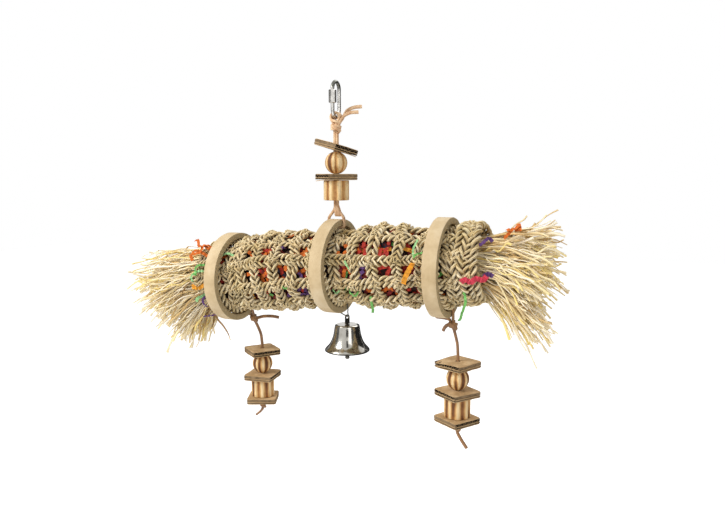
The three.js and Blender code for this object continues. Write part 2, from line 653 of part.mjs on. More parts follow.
function shell() {
  const crownHole = Math.hypot(STRAP_NECK, STRAP_THICKNESS) / 2 + CLEARANCE;
  const flare = [[0, 0.045], [0.06, 0.15], [0.15, 0.39], [0.32, 0.59], [0.57, 0.76], [0.89, 0.89], [1, 0.95], [1, 1]];
  const wall = (inset) => flare.map(([share, down]) => {
    const radius = BELL_CROWN + (BELL_RIM - BELL_CROWN) * share - inset;
    return new THREE.Vector2(radius, crownZ - Math.max(down * BELL_HEIGHT, 2 * inset));
  });
  const outside = [new THREE.Vector2(BELL_CROWN - 1.2, crownZ), ...wall(0)];
  const inside = [new THREE.Vector2(BELL_CROWN - 1.2 - BELL_WALL, crownZ - BELL_WALL), ...wall(BELL_WALL)];
  const top = new THREE.Vector2(crownHole, crownZ);
  const lip = new THREE.Vector2(crownHole, crownZ - BELL_WALL);
  const profile = [top, lip, ...inside, ...outside.reverse(), top.clone()];
  return new THREE.LatheGeometry(profile, 24).rotateX(Math.PI / 2);
}

// The clapper's wire eye goes through the strap's lower eye
function clapper() {
  const eyeZ = hookEyeZ - eyeRadius + CLAPPER_WIRE / 2 + CLEARANCE - CLAPPER_EYE;
  const eye = new THREE.TorusGeometry(CLAPPER_EYE, CLAPPER_WIRE / 2, 6, 14).rotateX(Math.PI / 2);
  const top = eyeZ - CLAPPER_EYE;
  const foot = top - CLAPPER_LENGTH;
  const rod = CLAPPER_ROD / 2;
  const profile = [[0, foot], [CLAPPER_FOOT / 2, foot], [rod * 1.5, foot + CLAPPER_FOOT], [rod, foot + 2 * CLAPPER_FOOT],
    [rod, top], [0, top + CLAPPER_WIRE / 4]];
  const stem = new THREE.LatheGeometry(profile.map(([r, z]) => new THREE.Vector2(r, z)), 10).rotateX(Math.PI / 2);
  return geometryOf(solidOf(eye.translate(0, 0, eyeZ)).add(solidOf(stem)));
}

add(bell, 'bell_strap', strap(), nickel);
add(bell, 'bell_shell', shell(), nickel);
add(bell, 'bell_clapper', clapper(), steel);

// Dangles: a lace round the ring's wall, knotted at its right edge, with the stack hanging plumb below
const laceReach = Math.hypot(LACE_WIDTH, LACE_THICKNESS) / 2;
const laceHole = (laceReach + CLEARANCE) / Math.cos(Math.PI / 12);

function dangle(side, ringGroup, turn, run, sway, knotTail, endTail, turns) {
  const around = groupAt(ringGroup, 0, 0, 0);
  around.rotation.x = turn;
  const edge = sideOf(LACE_THICKNESS);
  const inner = -underOf(LACE_THICKNESS);
  const outer = -ringRadius - CLEARANCE - LACE_THICKNESS / 2;
  const bend = edge - RING_WIDTH / 2;
  const end = outer - LACE_THICKNESS / 2;
  const path = new THREE.Path();
  path.moveTo(edge, end);
  path.lineTo(edge, inner - bend);
  path.absarc(edge - bend, inner - bend, bend, 0, Math.PI / 2);
  path.lineTo(bend - edge, inner);
  path.absarc(bend - edge, inner - bend, bend, Math.PI / 2, Math.PI);
  path.lineTo(-edge, outer + bend);
  path.absarc(bend - edge, outer + bend, bend, Math.PI, 1.5 * Math.PI);
  path.lineTo(edge - LACE_THICKNESS / 2 - CLEARANCE, outer);
  add(around, `${side}_loop`, tube(lace, inXZ(path, 2)), leather);
  toy.updateMatrixWorld(true);
  const at = around.localToWorld(new THREE.Vector3(edge, 0, end - CLEARANCE - KNOT_RADIUS));
  const head = groupAt(toy, at.x, at.y, at.z);
  add(head, `${side}_knot`, knot(KNOT_RADIUS, 2 * KNOT_RADIUS), leather);
  add(head, `${side}_tail`, tube(lace, smooth(knotTail, 6)), leather);

  // From the knot down: bare lace, square, bead, square, cylinder, square, end knot
  const stack = groupAt(head, sway, 0, 0);
  let down = -KNOT_RADIUS - run;
  const thread = (name, geometry, half, material, spin) => {
    down -= half;
    const piece = add(groupAt(stack, 0, 0, down), `${side}_${name}`, geometry, material);
    piece.rotation.z = spin * DEGREE;
    down -= half + CLEARANCE;
  };
  thread('square_top', cardSquare(laceHole), SQUARE_THICKNESS / 2, board, turns[0]);
  thread('bead', bead(laceHole), beadHalf(laceHole), wood, 0);
  thread('square_middle', cardSquare(laceHole), SQUARE_THICKNESS / 2, board, turns[1]);
  thread('cylinder', cylinder(laceHole), CYLINDER_LENGTH / 2, wood, 0);
  thread('square_bottom', cardSquare(laceHole), SQUARE_THICKNESS / 2, board, turns[2]);
  const foot = down + CLEARANCE;
  const bare = [[0, 0, -KNOT_RADIUS - CLEARANCE], [0.1 * sway, 0, -KNOT_RADIUS - 0.2 * run],
    [0.7 * sway, 0, -KNOT_RADIUS - 0.5 * run], [sway, 0, -KNOT_RADIUS - 0.8 * run]];
  const route = smooth(bare, 7);
  route.push(new THREE.Vector3(sway, 0, -KNOT_RADIUS - 0.93 * run), new THREE.Vector3(sway, 0, foot));
  add(head, `${side}_lace`, tube(lace, route), leather);
  thread('end_knot', knot(END_KNOT_RADIUS, 2 * END_KNOT_RADIUS), END_KNOT_RADIUS, leather, 0);
  const footTail = groupAt(stack, 0, 0, down);
  add(footTail, `${side}_end_tail`, tube(lace, smooth(endTail, 6)), leather);
}

const leftTail = [[4.9, 0.6, 0.8], [10, 2.4, 2.2], [18, 5.4, 2.4], [25, 8.2, 1.2]];
const leftEndTail = [[0, 0, 0], [-1.2, -0.3, -2.2], [-4, -0.9, -5.6], [-8, -1.6, -9]];
const rightTail = [[-4.9, -1, -0.6], [-7, -1.8, -2.6], [-8.6, -2.4, -6]];
const rightEndTail = [[0, 0, 0], [1.2, -0.2, -2.4], [5, -1, -8], [10.4, -2, -14.6]];
dangle('left', ringLeft, LEFT_TURN, LEFT_RUN, LEFT_SWAY, leftTail, leftEndTail, [53, -81, -66]);
dangle('right', ringRight, RIGHT_TURN, RIGHT_RUN, RIGHT_SWAY, rightTail, rightEndTail, [-25, -34, 58]);

export default toy;
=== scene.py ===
# Looks for a hanging bird toy: a stuffed seagrass tube on a leather lace, with card rings, a bell and two
# dangles of card and wood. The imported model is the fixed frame, in metres, +Z up, the tube along X.
import random
from math import asin, atan2, copysign, cos, exp, hypot, pi, radians, sin, sqrt, tanh

import bpy
from mathutils import Matrix, Quaternion, Vector, noise


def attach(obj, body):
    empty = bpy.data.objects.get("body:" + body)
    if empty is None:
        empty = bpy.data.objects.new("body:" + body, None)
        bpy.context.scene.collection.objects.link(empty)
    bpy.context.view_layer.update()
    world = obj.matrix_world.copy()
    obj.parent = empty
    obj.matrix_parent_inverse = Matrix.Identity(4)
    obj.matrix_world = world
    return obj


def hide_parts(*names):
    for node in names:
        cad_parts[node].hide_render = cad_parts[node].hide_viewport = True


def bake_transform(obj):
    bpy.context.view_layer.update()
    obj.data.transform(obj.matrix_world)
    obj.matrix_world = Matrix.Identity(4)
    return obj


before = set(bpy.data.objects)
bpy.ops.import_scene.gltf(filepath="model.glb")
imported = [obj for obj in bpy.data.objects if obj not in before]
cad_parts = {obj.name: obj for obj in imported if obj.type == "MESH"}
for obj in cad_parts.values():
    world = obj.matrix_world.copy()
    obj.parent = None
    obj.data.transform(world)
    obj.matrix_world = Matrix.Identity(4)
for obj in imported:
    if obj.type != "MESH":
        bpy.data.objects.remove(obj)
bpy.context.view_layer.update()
scene = bpy.context.scene
scene.view_settings.view_transform = "Standard"


# Studio. The toy hangs in front of a white sweep under one broad soft light from the upper left, with a weak
# fill from the right. Bent cards out of view give the plated metal something to reflect.
def linear(code):
    """An sRGB hex colour as linear red, green, blue and alpha."""
    shares = [int(code[i : i + 2], 16) / 255 for i in (0, 2, 4)]
    return [v / 12.92 if v <= 0.04045 else ((v + 0.055) / 1.055) ** 2.4 for v in shares] + [1.0]


def feed(node, sockets):
    """Sets a node's sockets: an output, or a node for its first output, is linked, and the rest are values."""
    for name, source in sockets.items():
        if isinstance(source, bpy.types.Node):
            source = source.outputs[0]
        if isinstance(source, bpy.types.NodeSocket):
            node.id_data.links.new(source, node.inputs[name])
        else:
            node.inputs[name].default_value = source


def add_node(tree, kind, sockets=None, stops=None, **settings):
    """One node, with a shader node's kind given without its prefix; stops fill a colour ramp."""
    made = tree.nodes.new(kind if "Node" in kind else "ShaderNode" + kind)
    for name, value in settings.items():
        setattr(made, name, value)
    feed(made, sockets or {})
    if stops:
        elements = made.color_ramp.elements
        elements.remove(elements[1])
        elements[0].position, elements[0].color = stops[0][0], linear(stops[0][1])
        for position, code in stops[1:]:
            elements.new(position).color = linear(code)
    return made


def finish_of(name, roughness, metallic=0.0):
    """A new material with its tree and its surface node."""
    made = bpy.data.materials.new(name)
    made.use_nodes = True
    surface = made.node_tree.nodes["Principled BSDF"]
    feed(surface, {"Roughness": roughness, "Metallic": metallic})
    return made, made.node_tree, surface


camera = bpy.data.objects.new("camera", bpy.data.cameras.new("camera"))
camera.location = (0.282, -0.565, -0.0835)
camera.rotation_euler = (radians(82.6), 0, radians(24.3))
camera.data.lens = 33.3
camera.data.sensor_width = 36
camera.data.clip_start = 0.01
scene.collection.objects.link(camera)
scene.camera = camera

TOY_MIDDLE = Vector((0, 0, -0.18))
for name, place, width, power in (
    ("key", (-0.75, -0.85, 0.62), 0.6, 16.5),
    ("fill", (1.0, -0.7, 0.1), 0.9, 3.5),
    ("rear", (0.2, 0.9, 0.8), 0.8, 5),
):
    lamp = bpy.data.objects.new(name, bpy.data.lights.new(name, "AREA"))
    lamp.data.size = width
    lamp.data.energy = power
    lamp.location = place
    lamp.rotation_euler = (TOY_MIDDLE - Vector(place)).to_track_quat("-Z", "Y").to_euler()
    scene.collection.objects.link(lamp)

world = bpy.data.worlds.new("white sweep")
world.use_nodes = True
scene.world = world
sky = world.node_tree
ray = add_node(sky, "LightPath")
shown = add_node(sky, "Math", {0: ray.outputs["Is Camera Ray"], 1: ray.outputs["Is Glossy Ray"]},
                 operation="MAXIMUM")
shown = add_node(sky, "Math", {0: shown, 1: ray.outputs["Is Transmission Ray"]}, operation="MAXIMUM")
level = add_node(sky, "MapRange", {"To Min": 0.46, "To Max": 1.0, "Value": shown})
feed(sky.nodes["Background"], {"Color": (1, 1, 1, 1), "Strength": level})

FLOOR_Z = -0.62
# Matt white paint, which glows for the lens and for mirrors so that the sweep stays white
paint, paint_tree, surface = finish_of("white_sweep_paint", 0.9)
ray = add_node(paint_tree, "LightPath")
shown = add_node(paint_tree, "Math", {0: ray.outputs["Is Camera Ray"], 1: ray.outputs["Is Glossy Ray"]},
                 operation="MAXIMUM")
glow = add_node(paint_tree, "Math", {1: 0.66, 0: shown}, operation="MULTIPLY")
feed(surface, {"Base Color": (0.9, 0.9, 0.9, 1), "Emission Color": (1, 1, 1, 1), "Emission Strength": glow})


def stage_piece(name, vertices, faces, material):
    """A stage mesh, which isn't part of the toy."""
    mesh = bpy.data.meshes.new(name)
    mesh.from_pydata(vertices, [], faces)
    mesh.materials.append(material)
    made = bpy.data.objects.new(name, mesh)
    scene.collection.objects.link(made)
    return made


floor = [(x, y, FLOOR_Z) for x, y in ((-4, -4), (4, -4), (4, 4), (-4, 4))]
stage_piece("floor", floor, [(0, 1, 2, 3)], paint)
# Bent cards stand round the toy, seen only in reflections. Their spans are in degrees to the right of the lens.
CARD_REACH, CARD_STEPS = 0.9, 12
lens_way = atan2(camera.location.y, camera.location.x)
for name, start, end, foot, top, tone in (
    ("card_left", -145, -75, -0.6, 0.3, 0.2),
    ("card_lens", -11, 11, -0.6, -0.05, 0.008),
    ("card_near", 33, 60, -0.6, 0.3, 0.09),
    ("card_right", 60, 130, -0.6, 0.3, 0.008),
    ("card_high", -8, 8, 0.12, 0.9, 0.03),
    ("card_back_left", -173, -148, -0.6, 0.3, 0.03),
    ("card_back_right", 132, 173, -0.6, 0.3, 0.03),
):
    card_paint, _, surface = finish_of(name + "_paint", 0.95)
    feed(surface, {"Base Color": (tone, tone, tone, 1)})
    ways = [lens_way + radians(start + (end - start) * i / CARD_STEPS) for i in range(CARD_STEPS + 1)]
    spots = [(CARD_REACH * cos(a), CARD_REACH * sin(a), z) for a in ways for z in (foot, top)]
    faces = [(2 * i, 2 * i + 2, 2 * i + 3, 2 * i + 1) for i in range(CARD_STEPS)]
    card = stage_piece(name, spots, faces, card_paint)
    card.visible_camera = card.visible_diffuse = card.visible_shadow = card.visible_transmission = False


# Quick link. A bent zinc-plated steel wire with a threaded gap in its front leg, closed by a six-sided sleeve
# that runs on the thread. The lace hangs in its lower bend.
MM = 0.001


def smooth_path(points, steps):
    """A smooth line through the points, with that many steps in each span."""
    p = [Vector(q) for q in points]
    p = [2 * p[0] - p[1]] + p + [2 * p[-1] - p[-2]]
    line = []
    for a, b, c, d in zip(p, p[1:], p[2:], p[3:]):
        for i in range(steps):
            t = i / steps
            bend = (2 * a - 5 * b + 4 * c - d) * t**2 + (3 * b - a - 3 * c + d) * t**3
            line.append(0.5 * (2 * b + (c - a) * t + bend))
    return line + [p[-2]]


def arc(centre, radius, start, end, steps):
    """Points of a flat arc, in degrees, as pairs."""
    turns = [radians(start + (end - start) * i / steps) for i in range(steps + 1)]
    return [(centre[0] + radius * cos(t), centre[1] + radius * sin(t)) for t in turns]


def polar(r, turn, z):
    """A point at a distance from the upright axis, an angle round it and a height."""
    return Vector((r * cos(turn), r * sin(turn), z))


def lattice(rows, across, closed=False, inward=False):
    """Quads between rows of points that run round; closed joins the last row to the first, inward turns them over."""
    faces = []
    for j in range(rows if closed else rows - 1):
        here, there = j * across, (j + 1) % rows * across
        for i in range(across):
            n = (i + 1) % across
            inner, outer = (here + n, there + i) if not inward else (there + i, here + n)
            faces.append((here + i, inner, there + n, outer))
    return faces


def sweep(line, section, across, scales=None, closed=False):
    """Vertices and faces of a section swept along a line; across is the way of the section's first axis."""
    count, sides = len(line), len(section)
    vertices = []
    for i, point in enumerate(line):
        before = line[i - 1] if closed or i else line[0]
        after = line[(i + 1) % count] if closed or i < count - 1 else line[-1]
        along = (after - before).normalized()
        way = across[i] if isinstance(across, list) else across
        first = (way - along * way.dot(along)).normalized()
        second = along.cross(first)
        scale = scales[i] if scales else 1
        vertices += [point + (first * a + second * b) * scale for a, b in section]
    faces = lattice(count, sides, closed)
    if not closed:
        faces += [tuple(reversed(range(sides))), tuple(range((count - 1) * sides, count * sides))]
    return vertices, faces


def joined(*shapes):
    """Several shapes as one list of vertices and one of faces."""
    vertices, faces = [], []
    for more, round_them in shapes:
        faces += [tuple(i + len(vertices) for i in face) for face in round_them]
        vertices += more
    return vertices, faces


def make_piece(name, shape, material, crease=40):
    """A mesh object with smooth faces and sharp edges past the crease angle."""
    mesh = bpy.data.meshes.new(name)
    mesh.from_pydata([tuple(v) for v in shape[0]], [], shape[1])
    mesh.materials.append(material)
    mesh.polygons.foreach_set("use_smooth", [True] * len(mesh.polygons))
    mesh.set_sharp_from_angle(angle=radians(crease))
    piece = bpy.data.objects.new(name, mesh)
    scene.collection.objects.link(piece)
    return piece


def stand_for(piece, body, slot, *nodes):
    """The piece rides on the body and stands for the nodes, if any."""
    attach(piece, body)
    if nodes:
        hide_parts(*nodes)
    return piece


def disc(radius, sides):
    """A round section."""
    turns = [2 * pi * i / sides for i in range(sides)]
    return [(radius * cos(t), radius * sin(t)) for t in turns]


# Bright zinc on steel, bent and plated: a pale grey metal with faint clouding from the plating bath
zinc, tree, surface = finish_of("zinc_plated_steel", 0.3, 1.0)
where = add_node(tree, "TexCoord").outputs["Object"]
cloud = add_node(tree, "TexNoise", {"Scale": 260, "Detail": 1, "Vector": where})
tint = add_node(tree, "ValToRGB", {"Fac": cloud}, stops=[(0.3, "BAB8B3"), (0.7, "DAD7D1")])
# The upper bend is painted darker: painted shade standing in for the dark reflection along the top of the link
height = add_node(tree, "SeparateXYZ", {0: where}).outputs["Z"]
bend = add_node(tree, "MapRange", {"From Min": -0.006, "From Max": 0.001, "Value": height})
dull_and_painted_shade = add_node(tree, "ValToRGB", {"Fac": bend}, stops=[(0.0, "FFFFFF"), (0.45, "8E908A")])
both = add_node(tree, "Mix", {0: 1.0, 6: tint, 7: dull_and_painted_shade}, data_type="RGBA", blend_type="MULTIPLY").outputs[2]
rough = add_node(tree, "MapRange", {"To Min": 0.22, "To Max": 0.4, "Value": cloud})
feed(surface, {"Base Color": both, "Roughness": rough})

LINK_WIRE = 1.7 * MM
LINK_LEG = 6.7 * MM
UPPER_BEND, LOWER_BEND = -5.0 * MM, -23.7 * MM
GAP_TOP, GAP_FOOT = -8.1 * MM, -11.7 * MM
THREAD = 3.6 * MM
LOWER_CUTS, UPPER_CUTS = 18, 11
flat = [(-LINK_LEG, GAP_FOOT - THREAD * i / LOWER_CUTS) for i in range(LOWER_CUTS)]
flat += [(-LINK_LEG, GAP_FOOT - THREAD), (-LINK_LEG, -19.5 * MM)]
flat += arc((0, LOWER_BEND), LINK_LEG, 180, 360, 28) + arc((0, UPPER_BEND), LINK_LEG, 0, 180, 28)
flat += [(-LINK_LEG, GAP_TOP + 2.2 * MM * (1 - i / UPPER_CUTS)) for i in range(1, UPPER_CUTS + 1)]
cut = [0.8 + 0.2 * (i % 2) for i in range(LOWER_CUTS)]
ridges = cut + [1] * (len(flat) - LOWER_CUTS - UPPER_CUTS) + cut[:UPPER_CUTS]
line = [Vector((0, y, z)) for y, z in flat]
link = make_piece("link_wire", sweep(line, disc(LINK_WIRE, 20), Vector((1, 0, 0)), ridges), zinc)
stand_for(link, "quick_link", "steel", "quick_link_body")

SLEEVE_TOP, SLEEVE_FOOT = -5.9 * MM, -17.9 * MM
SLEEVE_FLAT = 3.1 * MM
SLEEVE_BORE = 2.0 * MM
SLEEVE_CHAMFER = 0.7 * MM
around = 72
corner = SLEEVE_FLAT / cos(pi / 6)
steps_down = [0, 0.12, 0.25, 0.4, 0.55, 0.7]
levels = [SLEEVE_FOOT + d * MM for d in steps_down] + [SLEEVE_TOP - d * MM for d in reversed(steps_down)]
vertices = []
for z in levels:
    most = corner - SLEEVE_CHAMFER + min(z - SLEEVE_FOOT, SLEEVE_TOP - z)
    for i in range(around):
        turn = 2 * pi * i / around
        six = SLEEVE_FLAT / cos((turn % (pi / 3)) - pi / 6)
        r = min(six, most)
        vertices.append(Vector((r * sin(turn), -LINK_LEG - r * cos(turn), z)))
for z in (SLEEVE_TOP, SLEEVE_FOOT):
    for i in range(around):
        turn = 2 * pi * i / around
        vertices.append(Vector((SLEEVE_BORE * sin(turn), -LINK_LEG - SLEEVE_BORE * cos(turn), z)))
sleeve = make_piece("link_sleeve", (vertices, lattice(len(levels) + 2, around, closed=True)), zinc, 25)
stand_for(sleeve, "sleeve", "steel", "quick_link_sleeve")


# Hanger lace, upper part. One tan leather lace goes twice through the link's lower bend, and its two ends
# stick out above the knot as tails. Cut 3.2 by 2.2 mm, with softened corners.
LACE_WIDTH = 3.2 * MM
LACE_THICKNESS = 2.2 * MM
LACE_CREASE = 60


def lace_section(width, thickness, corner):
    """A flat section with round corners."""
    section = []
    for sx, sy, start in ((1, 1, 0), (-1, 1, 90), (-1, -1, 180), (1, -1, 270)):
        centre = (sx * (width / 2 - corner), sy * (thickness / 2 - corner))
        section += arc(centre, corner, start, start + 90, 3)
    return section


lace = lace_section(LACE_WIDTH, LACE_THICKNESS, 0.75 * MM)

# Vegetable-tanned lace: a smooth matt grain with darker creases, paler above and painted browner lower down, painted
# shade for the laces that hang under the tube
leather, tree, surface = finish_of("tan_leather_lace", 0.62)
where = add_node(tree, "TexCoord").outputs["Object"]
height = add_node(tree, "SeparateXYZ", {0: where}).outputs["Z"]
# Painted shade: below the hanger the lace is painted brown
upper = add_node(tree, "MapRange", {"From Min": -0.215, "From Max": -0.06, "Value": height})
blotch = add_node(tree, "TexNoise", {"Scale": 170, "Detail": 3, "Vector": where})
pale = add_node(tree, "ValToRGB", {"Fac": blotch}, stops=[(0.3, "C9986C"), (0.7, "EFD0A8")])
brown = add_node(tree, "ValToRGB", {"Fac": blotch}, stops=[(0.3, "7B5B45"), (0.7, "AE8256")])
both = add_node(tree, "Mix", {0: upper, 6: brown, 7: pale}, data_type="RGBA").outputs[2]
# Grain creases of about 0.5 mm
grain = add_node(tree, "TexNoise", {"Scale": 1900, "Detail": 3, "Roughness": 0.6, "Vector": where})
bump = add_node(tree, "Bump", {"Strength": 0.35, "Distance": 0.0002, "Height": grain})
feed(surface, {"Base Color": both, "Normal": bump})


def lace_piece(name, shape, body, *nodes):
    """A piece of the lace on its body."""
    return stand_for(make_piece(name, shape, leather, LACE_CREASE), body, "leather", *nodes)


LINK_FOOT = -30.4 * MM
LOOP_RADIUS = 4.26 * MM
PASS_X, PASS_Y = 1.25 * MM, 1.75 * MM
KNOT_TOP = -35.9 * MM
side_way = Vector((0, 1, 0))
passes = []
for y in (-PASS_Y, PASS_Y):
    half = arc((0, LINK_FOOT), LOOP_RADIUS, 180, 0, 16)
    flat = [(-PASS_X * 0.9, KNOT_TOP - 2 * MM), (-PASS_X * 1.1, KNOT_TOP), (-LOOP_RADIUS * 0.8, -33.2 * MM)]
    flat += half + [(-a, b) for a, b in reversed(flat)]
    passes.append(sweep(smooth_path([(x, y, z) for x, z in flat], 2), lace, side_way))
lace_piece("lace_loops", joined(*passes), "loop", "hanger_loop_front", "hanger_loop_back")

TAIL_FOOT = Vector((0, 0, -35.6 * MM))
for name, node, points, way in (
    ("lace_tail_upper", "hanger_tail_upper",
     [(1.4, 3.0, 0), (2.5, 4.3, 1.6), (4.4, 5.5, 4.6), (5.8, 5.5, 8), (8.9, 6.4, 11.8), (14.5, 8.6, 14.4),
      (21.2, 11.4, 15.2)], (0.2, 1, 0.3)),
    ("lace_tail_lower", "hanger_tail_lower",
     [(2.5, -0.6, -3), (5.1, -1, 2.2), (7.9, 0.4, 6.2), (13, 3, 9.2), (20, 6.4, 9.8)], (0.3, 0.9, 0.5)),
):
    line = [TAIL_FOOT + p * MM for p in smooth_path(points, 6)]
    ways = [Vector(way).lerp(Vector((-0.1, 0.3, 1)), i / (len(line) - 1)) for i in range(len(line))]
    lace_piece(name, sweep(line, lace, ways), "loop", node)


# Knots. The lace is wound round itself and the last turn is drawn under, so wraps lie side by side with one
# length crossing over them. The same knot closes the hanger and both ends of each dangle.
WRAP_STEPS, OVER_STEPS = 22, 12


def wrapped_knot(centre, radius, height, turns, facing):
    """Wraps of lace round a core, with one length laid over them on the side that facing gives in degrees."""
    slim = lace_section(LACE_WIDTH * 0.86, LACE_THICKNESS * 0.82, 0.6 * MM)
    wind, ways = [], []
    steps = int(turns * WRAP_STEPS)
    for i in range(steps + 1):
        t = i / steps
        tuck = min(1, 8 * t, 8 * (1 - t))
        turn = radians(facing + 120) + 2 * pi * turns * t
        swell = 0.82 + 0.18 * sin(pi * t)
        r = (radius - LACE_THICKNESS * 0.45) * swell * (0.45 + 0.55 * tuck)
        z = (height - LACE_WIDTH * 0.8) * (0.5 - t)
        wind.append(centre + polar(r, turn, z))
        ways.append(Vector((0.25 * cos(turn * 1.7), 0.2, 1)))
    over, over_ways = [], []
    for i in range(OVER_STEPS + 1):
        t = i / OVER_STEPS
        turn = radians(facing - 62 + 124 * t)
        r = (radius + LACE_THICKNESS * 0.32) * (0.55 + 0.45 * sin(pi * t) ** 0.5)
        z = height * (0.36 - 0.82 * t)
        over.append(centre + polar(r, turn, z))
        over_ways.append(Vector((-sin(turn), cos(turn), 0.9)))
    rows, around, core = 8, 16, []
    for j in range(rows + 1):
        slope = pi * (j / rows - 0.5)
        r = (radius - LACE_THICKNESS) * max(0.05, cos(slope))
        core += [centre + polar(r, 2 * pi * i / around, height * 0.48 * sin(slope)) for i in range(around)]
    core_faces = lattice(rows + 1, around)
    core_faces += [tuple(reversed(range(around))), tuple(range(rows * around, len(core)))]
    return joined(sweep(wind, slim, ways), sweep(over, slim, over_ways), (core, core_faces))


HANGER_KNOT = Vector((0, 0, -40.1 * MM))
lace_piece("hanger_knot_wraps", wrapped_knot(HANGER_KNOT, 5.2 * MM, 8.8 * MM, 2.4, -70), "knot", "hanger_knot")
# One more turn, drawn askew, holds the loops together above the knot
COLLAR_MIDDLE, COLLAR_STEPS = Vector((0.2 * MM, 0, -33.9 * MM)), 28
COLLAR_WIDE, COLLAR_DEEP, COLLAR_SLANT = 3.9, 4.4, 0.9
wind = []
for i in range(COLLAR_STEPS + 1):
    t = i / COLLAR_STEPS
    turn = radians(100) + 2.3 * pi * t
    r = 0.6 + 0.4 * min(1, 6 * t, 6 * (1 - t))
    spot = Vector((COLLAR_WIDE * r * cos(turn), COLLAR_DEEP * r * sin(turn), -COLLAR_SLANT * cos(turn)))
    wind.append(COLLAR_MIDDLE + spot * MM)
collar_lace = lace_section(2.4 * MM, 1.9 * MM, 0.6 * MM)
lace_piece("hanger_knot_collar", sweep(wind, collar_lace, Vector((0, 0, 1))), "loop")


# Hanger lace, lower part. Both lengths run side by side down through the threaded pieces, part under them, and
# go under the top of the middle ring's wall, so the ring hangs in the fold. It bends where the lengths part.
STRAND_TOP = -42.5 * MM
SPLIT_Z = -112.025 * MM
YOKE_SIDE, YOKE_SHOULDER = 7.9 * MM, -123.2 * MM
YOKE_FOOT, YOKE_BEND = -131.772 * MM, 1.4 * MM
STRAND_STEPS_DOWN = 34
drop = (SPLIT_Z - STRAND_TOP) / STRAND_STEPS_DOWN
strand = [(-PASS_X, STRAND_TOP + drop * i) for i in range(STRAND_STEPS_DOWN + 1)]
yoke = [(-1.35 * MM, -113.4 * MM), (-2.3 * MM, -115.6 * MM), (-4.6 * MM, -118.8 * MM), (-6.9 * MM, -121.6 * MM),
        (-YOKE_SIDE, YOKE_SHOULDER - 1.4 * MM), (-YOKE_SIDE, YOKE_FOOT + 2.6 * MM)]
yoke += arc((YOKE_BEND - YOKE_SIDE, YOKE_FOOT + YOKE_BEND), YOKE_BEND, 180, 270, 4)
down = strand + yoke
flat = down + [(-x, z) for x, z in reversed(down)]
line = smooth_path([(x, 0, z) for x, z in flat], 2)
lower_lace = make_piece("hanger_lace", sweep(line, lace, side_way), leather, LACE_CREASE)
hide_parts("hanger_strand_left", "hanger_strand_right", "hanger_yoke")
# Two flat folds of the lace hang side by side between the lengths where they part, and end just above the ring
flat_lace = lace_section(2.9 * MM, 2 * MM, 0.7 * MM)
folds = []
for top, foot in ((-0.9, 0.1), (1.0, 2.9)):
    mid = 0.5 * (top + foot)
    hang = [(top, 0, -110), (top, -0.6, -112.6), (mid, -1.1, -115.2), (foot, -1.1, -118.2), (foot, -0.9, -119.7),
            (foot, 0.1, -120.8), (foot, 1.3, -120.3), (foot, 1.8, -118.6), (mid, 1.6, -115.2), (top, 0.3, -111)]
    folds.append(sweep(smooth_path([Vector(p) * MM for p in hang], 3), flat_lace, Vector((1, 0, 0))))
lace_fold = make_piece("hanger_lace_fold", joined(*folds), leather, LACE_CREASE)
for piece in (lower_lace, lace_fold):
    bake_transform(piece)
run = sum((b - a).length for a, b in zip(line, line[1:]))


# Card squares. Double-wall corrugated board cut to 30 mm squares and punched for the lace: three kraft liners
# with a coarse and a fine wave of fluting between them, which show as rows of holes on two of the four edges.
SQUARE_HALF = 15 * MM
SQUARE_THICKNESS = 5.6 * MM
LINER = 0.5 * MM
COARSE_HEIGHT, COARSE_PITCH, FINE_PITCH = 2.7 * MM, 5.4 * MM, 3.6 * MM
FLUTE_SHEET = 0.36 * MM
EDGE_SET_BACK = 0.45 * MM
CORNER_POWER = 18
CURL_START, CURL_SPAN = 8, 12

# Kraft liner: a matt brown paper with short fibres and a mottled tone
liner_card, tree, surface = finish_of("kraft_liner", 0.86)
where = add_node(tree, "TexCoord").outputs["Object"]
mottle = add_node(tree, "TexNoise", {"Scale": 90, "Detail": 5, "Roughness": 0.65, "Vector": where})
tint = add_node(tree, "ValToRGB", {"Fac": mottle},
                stops=[(0.28, "9E8055"), (0.5, "B9986C"), (0.74, "D8BD93")])
pulp = add_node(tree, "TexNoise", {"Scale": 1500, "Detail": 4, "Vector": where})
bump = add_node(tree, "Bump", {"Strength": 0.4, "Distance": 0.0002, "Height": pulp})
feed(surface, {"Base Color": tint, "Normal": bump})

# Bare papers with a fine mottle: the fluting, painted near black as painted shade inside the holes, and the cut card
# edge, painted darker than the liner, partly as painted shade
bare_papers = []
for name, dark, light in (("fluting_painted_shade", "2C1F10", "4C3922"), ("cut_card_edge", "6A563C", "957C5C")):
    bare_paper, tree, surface = finish_of(name, 0.92)
    where = add_node(tree, "TexCoord").outputs["Object"]
    mottle = add_node(tree, "TexNoise", {"Scale": 240, "Detail": 4, "Vector": where})
    feed(surface, {"Base Color": add_node(tree, "ValToRGB", {"Fac": mottle}, stops=[(0.3, dark), (0.7, light)])})
    bare_papers.append(bare_paper)


